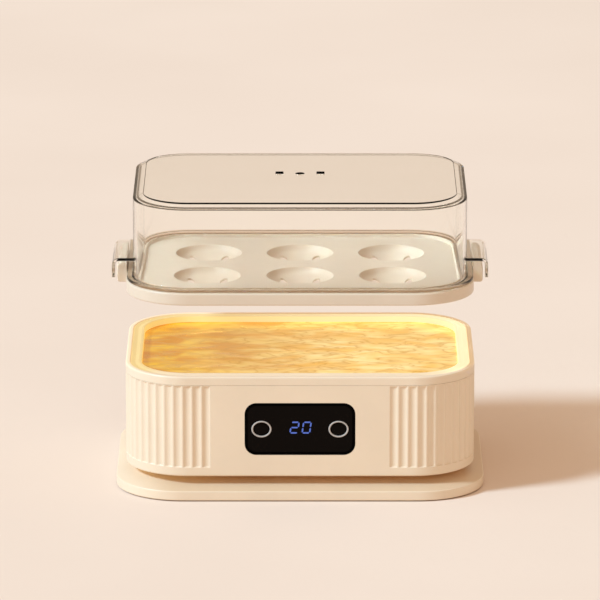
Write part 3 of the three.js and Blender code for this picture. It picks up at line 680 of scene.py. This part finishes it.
def corners(x, y):
    """The four places (name, x, y) that a corner piece has."""
    return [
        (f"{end}_{side}", sign_x * x, sign_y * y)
        for side, sign_x in SIDES
        for end, sign_y in (("front", -1), ("back", 1))
    ]


# ---------------------------------------------------------------- sizes read from the frame

PLATE = plan_of("base_plate", 38)
BODY = plan_of("rim_collar", 36)
COVER_INSET = 20                # how far the pedestal stands in from the body
COVER = Plan(BODY.width - 2 * COVER_INSET, BODY.depth - 2 * COVER_INSET, BODY.radius - COVER_INSET)
TRAY = Plan(BODY.width - 1.4, BODY.depth - 2, 35.3)
LID_FLANGE = 3.7
LID_DEPTH = box_of("lid")[1].y * 2 - 2 * LID_FLANGE
LID = Plan(LID_DEPTH + 55.6, LID_DEPTH, 31.2)

PLATE_BOTTOM, PLATE_TOP = box_of("base_plate")[0].z, box_of("base_plate")[1].z
PLATE_EDGE = 6                  # top of the plate at its edge, below its raised middle
PLATE_HOLLOW = Plan(100, 120, 14)       # the hollow under the plate's middle
PLATE_HOLLOW_TOP = 6
COVER_BOTTOM = box_of("bottom_cover")[0].z
COVER_FLOOR = COVER_BOTTOM + 2.3
BRIM_LOW, BRIM_HIGH = 13.5, 15.4
SCREW_HOLE = 1.6                # radius that clears a body or base screw
BOARD_SCREW_HOLE = 1.4
BASE_POST_TOP = 19
BASE_SCREW_TOP = 17
BODY_SCREW_TOP = 27
BOARD_POSTS = [(-42, -8), (42, -8), (-42, 36), (42, 36)]
BOARD_LOW = box_of("power_board")[0].z
SEAM = box_of("housing")[1].z
RIM = box_of("rim_collar")[1].z
PAN_FLOOR = RIM - 4
PAN_BOTTOM = PAN_FLOOR - 1.8
TRAY_BOTTOM = RIM + 41
TRAY_TOP = TRAY_BOTTOM + 7.2
LID_BASE = box_of("lid")[0].z + 3.5
LID_TOP = box_of("lid")[1].z
LID_SHOULDER = LID_TOP - 2.7

WALL = 2.8
BODY_BOTTOM = 13.2
LEDGE_TOP, LEDGE_BOTTOM = 62, 60        # shelf under the pan
COLLAR_BOTTOM = 64.2            # of the collar's inner wall, which reaches down into the shell
COLLAR_STEP = 67.5              # where the inner wall begins, under the lit ledge
RING_BOTTOM = 68.8
FRONT = -BODY.depth / 2
BACK = BODY.depth / 2
HALF_SIDE_X = BODY.width / 2 - BODY.radius      # where the body's straight sides end
HALF_SIDE_Y = BODY.depth / 2 - BODY.radius


# ---------------------------------------------------------------- stand


def foot_profile(radius, low, high):
    return [(0, low), (radius, low, 0.6), (radius, high), (0, high)]


def make_stand():
    plate = around("stand_plate", PLATE, [
        (2, PLATE_BOTTOM), (0, PLATE_BOTTOM, 0.8), (0, PLATE_EDGE, 0.8), (12.7, PLATE_TOP, 9),
        (20, PLATE_TOP),
    ], closed=False, corner_steps=36)
    combine(plate, around("hollow", PLATE_HOLLOW, [
        (0, PLATE_BOTTOM - 1), (0, PLATE_HOLLOW_TOP),
    ], closed=False), "DIFFERENCE")
    foot_low, foot_high = box_of("foot_front_left")
    foot_radius = (foot_high.x - foot_low.x) / 2
    cutters = []
    pocket = foot_profile(foot_radius + GAP, -1, foot_high.z + GAP)
    for name, x, y in corners(*place_of("foot_front_left")):
        cutters.append(turned("cutter", pocket, at(x, y)))
        foot = turned(f"rubber_foot_{name}", foot_profile(foot_radius, foot_low.z, foot_high.z),
                      at(x, y))
        finished(foot, "soft_rubber", "base", f"foot_{name}")
    for _, x, y in corners(*place_of("base_screw_front_left")):
        cutters.append(turned("cutter", [
            (0, -1), (3.5, -1), (3.5, 5.3), (SCREW_HOLE, 5.3), (SCREW_HOLE, PLATE_TOP + 1),
            (0, PLATE_TOP + 1),
        ], at(x, y), 24))
    combine(plate, together("cutters", cutters), "DIFFERENCE")
    finished(plate, "cream_shell", "base", "base_plate", look="cream_stand")


def place_of(node_name):
    """How far to the side and to the back of the middle a node lies."""
    low, high = box_of(node_name)
    return abs((low.x + high.x) / 2), abs((low.y + high.y) / 2)


def post(radius, low, high, x, y, sides=24):
    return turned("post", [(0, low), (radius, low), (radius, high), (0, high)], at(x, y), sides)


def make_plinth():
    brim = COVER_INSET - WALL - GAP
    cover = around("plinth", COVER, [
        (3, COVER_BOTTOM), (0, COVER_BOTTOM, 0.8), (0, BRIM_LOW, 0.4), (-brim, BRIM_LOW, 0.2),
        (-brim, BRIM_HIGH, 0.3), (2.4, BRIM_HIGH, 0.4), (2.4, COVER_FLOOR, 0.8), (6, COVER_FLOOR),
    ], closed=False)
    body_screws = corners(*place_of("housing_screw_front_left"))
    base_screws = corners(*place_of("base_screw_front_left"))
    posts = [post(4, COVER_FLOOR - 1, BASE_POST_TOP, x, y) for _, x, y in base_screws]
    posts += [post(3, COVER_FLOOR - 1, BOARD_LOW - GAP, x, y) for x, y in BOARD_POSTS]
    holes = [post(SCREW_HOLE, BRIM_LOW - 1, BRIM_HIGH + 1, x, y, 16) for _, x, y in body_screws]
    holes += [
        post(SCREW_HOLE, COVER_BOTTOM - 1, BASE_SCREW_TOP, x, y, 16) for _, x, y in base_screws
    ]
    holes += [post(BOARD_SCREW_HOLE, 12, BOARD_LOW, x, y, 16) for x, y in BOARD_POSTS[1:3]]
    combine(cover, together("posts", posts), "UNION")
    combine(cover, together("holes", holes), "DIFFERENCE")
    finished(cover, "cream_shell", "base", "bottom_cover", look="cream_plinth")


# ---------------------------------------------------------------- fluted body

FLUTE_PITCH = 5.3
FLUTE_WIDTH = 4.7
FLUTE_DEPTH = 0.8
FLUTE_BOTTOM = 18.4
FLUTE_TOP = SEAM - 0.25
FLUTE_RUN_OUT = 0.9             # height over which a flute comes out to the surface at its foot
FLUTE_TOP_RUN_OUT = 0.5         # and at its top
PLAIN_HALF = 50                 # half of the smooth front and back
FLUTE_STEPS = 10


def place_on_body(along):
    """The point and outward direction at a distance round the body from the middle of the front."""
    arc = BODY.radius * math.pi / 2
    if along < HALF_SIDE_X:
        return Vector((along, FRONT)), Vector((0, -1))
    along -= HALF_SIDE_X
    if along < arc:
        out = Vector((math.sin(along / BODY.radius), -math.cos(along / BODY.radius)))
        return Vector((HALF_SIDE_X, -HALF_SIDE_Y)) + out * BODY.radius, out
    along -= arc
    if along < 2 * HALF_SIDE_Y:
        return Vector((BODY.width / 2, along - HALF_SIDE_Y)), Vector((1, 0))
    along -= 2 * HALF_SIDE_Y
    if along < arc:
        out = Vector((math.cos(along / BODY.radius), math.sin(along / BODY.radius)))
        return Vector((HALF_SIDE_X, HALF_SIDE_Y)) + out * BODY.radius, out
    return Vector((HALF_SIDE_X - (along - arc), BACK)), Vector((0, 1))


def body_stations():
    """Points round the body close enough together to carry the flutes, each with its outward
    direction and how deep the flute is there."""
    half_length = 2 * HALF_SIDE_X + math.pi * BODY.radius + 2 * HALF_SIDE_Y
    run = half_length - 2 * PLAIN_HALF
    count = math.floor(run / FLUTE_PITCH)
    radius = (FLUTE_WIDTH ** 2 / 4 + FLUTE_DEPTH ** 2) / (2 * FLUTE_DEPTH)
    right = [(PLAIN_HALF * step / 3, 0.0) for step in range(3)]
    for flute in range(count):
        middle = PLAIN_HALF + (flute + 0.5) * run / count
        for step in range(FLUTE_STEPS + 1):
            across = FLUTE_WIDTH * (step / FLUTE_STEPS - 0.5)
            depth = math.sqrt(radius ** 2 - across ** 2) - (radius - FLUTE_DEPTH)
            right.append((middle + across, max(depth, 0.0)))
    right += [(half_length - PLAIN_HALF * step / 3, 0.0) for step in (2, 1)]
    right.append((half_length, 0.0))
    stations = [(*place_on_body(along), depth) for along, depth in right]
    mirrored = [
        (Vector((-place.x, place.y)), Vector((-out.x, out.y)), depth)
        for place, out, depth in reversed(stations[1:-1])
    ]
    return stations + mirrored


def flute_share(z):
    """How much of the full depth a flute has at that height."""
    below = min(1.0, max(0.0, (z - FLUTE_BOTTOM) / FLUTE_RUN_OUT))
    above = min(1.0, max(0.0, (FLUTE_TOP - z) / FLUTE_TOP_RUN_OUT))
    return math.sqrt(1 - (1 - below) ** 2) * math.sqrt(1 - (1 - above) ** 2)


def make_body():
    run_out = [FLUTE_BOTTOM + FLUTE_RUN_OUT * share for share in (0, 0.04, 0.15, 0.35, 0.65, 1)]
    run_in = [FLUTE_TOP - height for height in (FLUTE_TOP_RUN_OUT, 0.3, 0.12, 0)]
    wall = [(0, z) for z in (*run_out, *run_in)]
    profile = rounded([
        (WALL, BODY_BOTTOM), (0, BODY_BOTTOM, 1.1), *wall, (0, SEAM, 0.12), (WALL, SEAM),
        (WALL, LEDGE_TOP), (14, LEDGE_TOP, 0.3), (14, LEDGE_BOTTOM, 0.3), (WALL, LEDGE_BOTTOM),
    ], True)
    stations = body_stations()
    rows = []
    for point in profile:
        on_wall = abs(point.x) < 1e-6
        share = flute_share(point.y) if on_wall else 0.0
        rows.append([
            (*(place - out * (point.x + depth * share)), point.y) for place, out, depth in stations
        ])
    shell = loft("fluted_shell", rows, True)
    combine(shell, window("panel_window", PANEL, facing_front(0, PANEL_Z)), "DIFFERENCE")
    combine(shell, window("inlet_window", INLET, facing_back(0, INLET_Z)), "DIFFERENCE")
    places = corners(*place_of("housing_screw_front_left"))
    posts = [post(4, BRIM_HIGH + GAP, LEDGE_BOTTOM + 1, x, y) for _, x, y in places]
    holes = [post(SCREW_HOLE, BRIM_HIGH, BODY_SCREW_TOP, x, y, 16) for _, x, y in places]
    combine(shell, together("posts", posts), "UNION")
    combine(shell, together("holes", holes), "DIFFERENCE")
    finished(shell, "cream_shell", "base", "housing")


def window(name, plan, place):
    """A block that cuts a window for a plan's shape in the front or back wall."""
    wider = Plan(plan.width + 2 * GAP, plan.depth + 2 * GAP, plan.radius + GAP)
    block = around(name, wider, [(0, BACK - 4), (0, BACK + 2)], closed=False, corner_steps=10)
    move(block, place)
    return block


def make_collar():
    collar = around("collar", BODY, [
        (0, SEAM + 0.12, 0.12), (0, RIM, 1.1), (2.8, RIM, 0.6), (2.8, COLLAR_STEP),
        (5.8, COLLAR_STEP, 0.2), (5.8, COLLAR_BOTTOM, 0.2), (WALL + GAP, COLLAR_BOTTOM, 0.2),
        (WALL + GAP, SEAM + 0.12),
    ])
    finished(collar, "cream_shell", "base", "rim_collar", look="cream_lip")
    under = RIM - 1.7
    ring = around("glowing_ledge", BODY, [
        (2.85, RING_BOTTOM), (2.85, RIM - 0.3, 0.3), (5.6, RIM - 0.8, 1.5), (7.6, RIM, 0.8),
        (9.2, RIM, 0.6), (9.2, PAN_FLOOR + GAP, 0.2), (8, PAN_FLOOR + GAP), (8, under),
        (4.3, under), (4.3, RING_BOTTOM),
    ])
    finished(ring, "glow_ring", "base", "light_ring")


# ---------------------------------------------------------------- rippled pan

RIPPLE = 0.42                   # half of the height from trough to crest
RIPPLE_ROWS = 58
PAN_SIDE_STEPS = 24


def ripple(x, y):
    """Height of the pan's ripples: warped noise with waves of 14 and 8 mm, a little longer across
    than from front to back."""
    warp = noise.noise(Vector((x / 28, y / 28, 4.0)))
    broad = noise.noise(Vector((x / 14 + warp, y / 11 + 1.3 * warp, 1.7)))
    fine = noise.noise(Vector((x / 8, y / 6 + warp, 9.1)))
    return RIPPLE * (broad + 0.4 * fine)


def make_pan():
    inner = 10
    edge_top = PAN_FLOOR + 1.3
    profile = rounded([
        (16, PAN_BOTTOM), (6.2, PAN_BOTTOM, 0.7), (6.2, edge_top, 0.3), (7.7, edge_top, 0.3),
        (7.7, PAN_FLOOR, 0.4), (inner, PAN_FLOOR),
    ], False)
    stations = BODY.stations(corner_steps=16, side_steps=PAN_SIDE_STEPS)
    rows = [[(*(place - out * point.x), point.y) for place, out in stations] for point in profile]
    edge = [place - out * inner for place, out in stations]
    for row in range(1, RIPPLE_ROWS):
        share = 1 - row / RIPPLE_ROWS
        calm = min(1.0, row / 3)
        rows.append([
            (*(point * share), PAN_FLOOR + calm * ripple(*(point * share))) for point in edge
        ])
    pan = loft("rippled_pan", rows, False)
    finished(pan, "gilt_coating", "base", "heating_pan")


# ---------------------------------------------------------------- control panel

PANEL = Plan(61.8, 29.8, 6.3)
PANEL_Z = 41
PANEL_BACK = 4.3                # how far behind the front wall's face the panel's flange ends
BEZEL = 1.4                     # width of the border round the panel's face
BUTTON_X = (box_of("right_button")[0].x + box_of("right_button")[1].x) / 2
CAP_RADIUS = 4.4
RING_RADIUS = 5.65
BUTTON_SHAPE = Matrix.Diagonal((1, 0.85, 1, 1))        # lower than they are wide


def make_panel():
    face = -FRONT               # a piece that is drawn lying down has its face at this height
    panel = around("control_panel", PANEL, [
        (4, face - PANEL_BACK), (-2, face - PANEL_BACK), (-2, face - WALL - GAP),
        (0, face - WALL - GAP), (0, face - 0.4), (BEZEL, face - 0.4), (BEZEL, face - 0.06, 0.12),
        (4, face - 0.06),
    ], closed=False, corner_steps=12)
    move(panel, facing_front(0, PANEL_Z))
    border = around("panel_border", PANEL, [
        (0, face - 0.38), (0, face, 0.25), (BEZEL - 0.05, face, 0.1), (BEZEL - 0.05, face - 0.38),
    ], corner_steps=12)
    move(border, facing_front(0, PANEL_Z))
    border.data.materials.append(looks["panel_border"])
    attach(border, "base")
    holes = []
    for sign in (-1, 1):
        holes.append(turned("hole", [
            (0, face - PANEL_BACK - 1), (CAP_RADIUS + GAP, face - PANEL_BACK - 1),
            (CAP_RADIUS + GAP, face - 1.5), (RING_RADIUS + 0.05, face - 1.5),
            (RING_RADIUS + 0.05, face + 1), (0, face + 1),
        ], facing_front(sign * BUTTON_X, PANEL_Z) @ BUTTON_SHAPE))
    combine(panel, together("holes", holes), "DIFFERENCE")
    finished(panel, "black_gloss", "base", "panel_face")
    for side, sign in SIDES:
        place = facing_front(sign * BUTTON_X, PANEL_Z) @ BUTTON_SHAPE
        make_ring(side, face, place)
        make_cap(side, face, place)
    make_digits(face)


def make_ring(side, face, place):
    inner = CAP_RADIUS + GAP
    round_plan = Plan(2 * RING_RADIUS, 2 * RING_RADIUS, RING_RADIUS)
    width = RING_RADIUS - inner
    ring = around(f"{side}_ring", round_plan, [
        (0, face - 1.2), (0, face + 0.4, 0.35), (width, face + 0.4, 0.35), (width, face - 1.2),
    ], corner_steps=14)
    move(ring, place)
    finished(ring, "silver_ring", "base", f"{side}_button_ring")


def make_cap(side, face, place):
    flange = face - PANEL_BACK - GAP
    dome = [(CAP_RADIUS * math.sin(a), face - 0.5 + 0.85 * math.cos(a)) for a in
            (math.radians(degrees) for degrees in range(84, 0, -12))]
    cap = turned(f"{side}_cap", [
        (0, flange - 1.4), (2, flange - 1.4), (2, flange - 1), (RING_RADIUS, flange - 1),
        (RING_RADIUS, flange), (CAP_RADIUS, flange), (CAP_RADIUS, face - 0.6), *dome,
        (0, face + 0.35),
    ], place)
    finished(cap, "black_gloss", f"{side}_button", f"{side}_button")


# Seven-segment digits: where each bar starts and ends, in digit widths and half heights.
BARS = {
    "top": ((0, 2), (1, 2)), "middle": ((0, 1), (1, 1)), "bottom": ((0, 0), (1, 0)),
    "upper_left": ((0, 1), (0, 2)), "upper_right": ((1, 1), (1, 2)),
    "lower_left": ((0, 0), (0, 1)), "lower_right": ((1, 0), (1, 1)),
}
DIGITS = [
    ("tens", ["top", "upper_right", "middle", "lower_left", "bottom"]),
    ("units", ["top", "upper_right", "lower_right", "bottom", "lower_left", "upper_left"]),
]
DIGIT_WIDTH = 4.2
DIGIT_HALF = 3.1
DIGIT_PITCH = 6.8
DIGIT_LEAN = 0.14
BAR_HALF = 0.42
BAR_GAP = 0.22
DIGIT_X = -5.6
DIGIT_Z = -2.2


def make_digits(face):
    """The lit bars of the display, a hair proud of the panel's face."""
    for index, (name, lit) in enumerate(DIGITS):
        bars = []
        for bar in lit:
            start, end = (Vector((x * DIGIT_WIDTH, y * DIGIT_HALF)) for x, y in BARS[bar])
            bars.append(make_bar(start, end, face - 0.2, face - 0.02))
        digit = together(f"digit_{name}", bars)
        move(digit, facing_front(DIGIT_X + index * DIGIT_PITCH, PANEL_Z + DIGIT_Z))
        digit.data.materials.append(looks["display_light"])
        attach(digit, "base")


def make_bar(start, end, low, high):
    along = (end - start).normalized()
    across = Vector((-along.y, along.x)) * BAR_HALF
    first = start + along * BAR_GAP
    last = end - along * BAR_GAP
    outline = [
        first, first + along * BAR_HALF - across, last - along * BAR_HALF - across, last,
        last - along * BAR_HALF + across, first + along * BAR_HALF + across,
    ]
    leaning = [(point.x + DIGIT_LEAN * point.y, point.y) for point in outline]
    return loft("bar", [[(*point, z) for point in leaning] for z in (low, high)], False)


# ---------------------------------------------------------------- power inlet

INLET = Plan(22, 14, 1.7)
INLET_Z = 27
INLET_PIN_X = 4.3
INLET_DEPTH = 12                # of the hollow that takes the lead's plug


def make_inlet():
    low, high = box_of("power_inlet")
    back = high.y
    flange = back - 1.6
    floor = back - INLET_DEPTH
    front = low.y
    inlet = around("power_socket", INLET, [
        (1.5, front), (0, front, 0.4), (0, flange + 0.2), (-3, flange + 0.2), (-3, back, 0.5),
        (1.5, back),
    ], closed=False, corner_steps=8)
    move(inlet, facing_back(0, INLET_Z))
    wells = []
    for sign in (-1, 1):
        wells.append(turned("well", [
            (0, front - 1), (1.45, front - 1), (1.45, floor), (4.2, floor, 0.3),
            (4.2, back + 1), (0, back + 1),
        ], facing_back(sign * INLET_PIN_X, INLET_Z), 32))
    slot = around("slot", Plan(2 * INLET_PIN_X, 6.4, 0.5), [(0, floor), (0, back + 1)],
                  closed=False, corner_steps=3)
    move(slot, facing_back(0, INLET_Z))
    for cutter in (*wells, slot):
        combine(inlet, cutter, "DIFFERENCE")
    finished(inlet, "black_plastic", "base", "power_inlet")
    for side, sign in SIDES:
        pin_low, pin_high = box_of(f"inlet_pin_{side}")
        pin = turned(f"contact_pin_{side}", [
            (0, pin_low.y), (1.15, pin_low.y), (1.15, pin_high.y, 0.8), (0, pin_high.y),
        ], facing_back(-sign * INLET_PIN_X, INLET_Z), 24)
        finished(pin, "brass_pin", "base", f"inlet_pin_{side}")


# ---------------------------------------------------------------- egg tray

WELL_PITCH_X = 52.5
WELL_PITCH_Y = 52
WELL_DEPTH = 7.4
STEAM_HOLE = 2.2                # radius of a steam hole
STEAM_HOLE_REACH = 13.1         # how far it is from the middle of its well
EAR_OUTER = 106.8
EAR_THICK = 1.8
EAR_TOP = 127.6
EAR_BOTTOM = 116.4
EAR_BEND = 4
EAR_HALF = 22


def make_tray():
    deck = TRAY_TOP - 0.8
    under = deck - 2
    tray = around("tray", TRAY, [
        (20, under), (12.2, under), (12.2, TRAY_BOTTOM - 2.6, 0.4), (10.6, TRAY_BOTTOM - 2.6, 0.4),
        (10.6, under, 0.3), (2.4, under, 0.5), (2.4, TRAY_BOTTOM, 0.4), (0, TRAY_BOTTOM, 0.9),
        (0, TRAY_TOP, 1.1), (7.0, TRAY_TOP, 0.3), (7.3, TRAY_TOP + 1.1, 0.3),
        (8.1, TRAY_TOP + 1.1, 0.3), (8.6, deck, 0.3), (14, deck),
    ], closed=False, corner_steps=30)
    combine(tray, both_ends("ears", tray_ear), "UNION")
    floor = deck - WELL_DEPTH
    places = [
        (column * WELL_PITCH_X, row * WELL_PITCH_Y) for column in (-1, 0, 1) for row in (-0.5, 0.5)
    ]
    combine(tray, together("bowls", [
        turned("bowl", [
            (0, floor - 1.6), (10, floor - 1.6, 3), (20.6, deck - 2.4, 3), (20.6, deck - 1),
            (0, deck - 1),
        ], at(x, y)) for x, y in places
    ]), "UNION")
    combine(tray, together("hollows", [
        turned("hollow", [
            (0, floor - 3), (7, floor - 3), (7, floor, 0.5), (10.5, floor, 5),
            (17.6, floor + 4.2, 5), (19.0, deck, 0.5), (20.4, deck + 0.6), (20.4, deck + 3),
            (0, deck + 3),
        ], at(x, y), 72) for x, y in places
    ]), "DIFFERENCE")
    steam = []
    for x, y in places:
        for quarter in range(4):
            angle = (quarter + 0.5) * math.pi / 2
            hole_x = x + STEAM_HOLE_REACH * math.cos(angle)
            hole_y = y + STEAM_HOLE_REACH * math.sin(angle)
            steam.append(post(STEAM_HOLE, floor - 3, floor + 6.1, hole_x, hole_y, 20))
    combine(tray, together("steam_holes", steam), "DIFFERENCE")
    finished(tray, "cream_tray", "tray", "egg_tray")


def arc(x, z, radius, start, end, steps=6):
    """Points on an arc in side view, between two angles in degrees."""
    angles = [math.radians(start + (end - start) * step / steps) for step in range(steps + 1)]
    return [(x + radius * math.cos(a), z + radius * math.sin(a)) for a in angles]


def tray_ear():
    """A solid lug under the lid's ear."""
    top = EAR_TOP - EAR_THICK - 0.6
    low = TRAY_BOTTOM + 0.9
    outer = EAR_OUTER - EAR_THICK - 1.2
    inner = TRAY.width / 2 - 0.1
    outline = [
        (inner - 1.6, low), *arc(outer - 1.6, low + 1.6, 1.6, -90, 0),
        *arc(outer - 4, top - 4, 4, 0, 90), (inner, top), (inner, TRAY_TOP - 1.2),
        (inner - 1.6, TRAY_TOP - 1.2),
    ]
    return prism_along_y("tray_ear", outline, EAR_HALF - 2, 0.5)


# ---------------------------------------------------------------- lid

VENT = Plan(4.6, 7, 0.6)
VENT_X = 11.7
VENT_Y = 10.8
ROUND_VENT = 2.7                # radius of the middle vent
ROUND_VENT_Y = 9.6


def make_lid():
    wall = 2
    lid = around("lid_shell", LID, [
        (12, LID_TOP - 1.5), (6.13, LID_TOP - 1.5, 0.5), (wall, LID_SHOULDER - 0.72, 0.6),
        (wall, LID_BASE), (-LID_FLANGE, LID_BASE, 0.3), (-LID_FLANGE, LID_BASE + 1.6, 0.5),
        (0, LID_BASE + 1.6, 1.2), (0, LID_SHOULDER, 0.4), (5.8, LID_TOP, 0.25), (12, LID_TOP),
    ], closed=False, corner_steps=30)
    combine(lid, both_ends("ears", lid_ear), "UNION")
    low, high = LID_TOP - 4, LID_TOP + 2
    vents = []
    for x in (-VENT_X, VENT_X):
        hole = around("vent", VENT, [(0, low), (0, high)], closed=False, corner_steps=3)
        move(hole, at(x, VENT_Y))
        vents.append(hole)
    vents.append(post(ROUND_VENT, low, high, 0, ROUND_VENT_Y, 32))
    combine(lid, together("vents", vents), "DIFFERENCE")
    finished(lid, "clear_tea", "lid", "lid")


def lid_ear():
    """A flat ear out from the lid's wall that turns down at its outer edge."""
    root = LID.width / 2 - 1.2
    bend_x, bend_z = EAR_OUTER - EAR_BEND, EAR_TOP - EAR_BEND
    outline = [
        (root, EAR_TOP - EAR_THICK),
        *arc(bend_x, bend_z, EAR_BEND - EAR_THICK, 90, 0),
        (EAR_OUTER - EAR_THICK, EAR_BOTTOM), (EAR_OUTER, EAR_BOTTOM),
        *arc(bend_x, bend_z, EAR_BEND, 0, 90),
        (root, EAR_TOP),
    ]
    return prism_along_y("lid_ear", outline, EAR_HALF, 0.35)


# ---------------------------------------------------------------- pieces kept from the CAD

KEPT = {
    "circuit_board": ["light_board", "power_board", "control_board"],
    "bare_aluminium": ["heat_spreader", "thermostat"],
    "bare_steel": ["heating_element", "temperature_probe", "heat_shield"],
    "black_plastic": ["capacitor", "left_switch", "right_switch", "display_module"],
    "ivory_sleeve": ["thermal_fuse", "terminal_block"],
    "silicone": ["pan_gasket"],
    "yellow_tape": ["transformer"],
    "blue_plastic": ["relay"],
    "red_wire": ["heater_lead_right", "inlet_lead_right"],
    "white_wire": ["heater_lead_left", "inlet_lead_left"],
    "grey_wire": ["ribbon_cable"],
}


def dress_kept_nodes():
    """Every CAD node that still shows gets one of the looks."""
    slots = {name: slot for slot, names in KEPT.items() for name in names}
    for name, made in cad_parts.items():
        if made.hide_render:
            continue
        slot = "screw_steel" if "screw" in name else slots[name]
        made.data.materials.clear()
        made.data.materials.append(looks[slot])


make_camera()
make_studio()
make_floor()
make_stand()
make_plinth()
make_body()
make_collar()
make_pan()
make_panel()
make_inlet()
make_tray()
make_lid()
dress_kept_nodes()
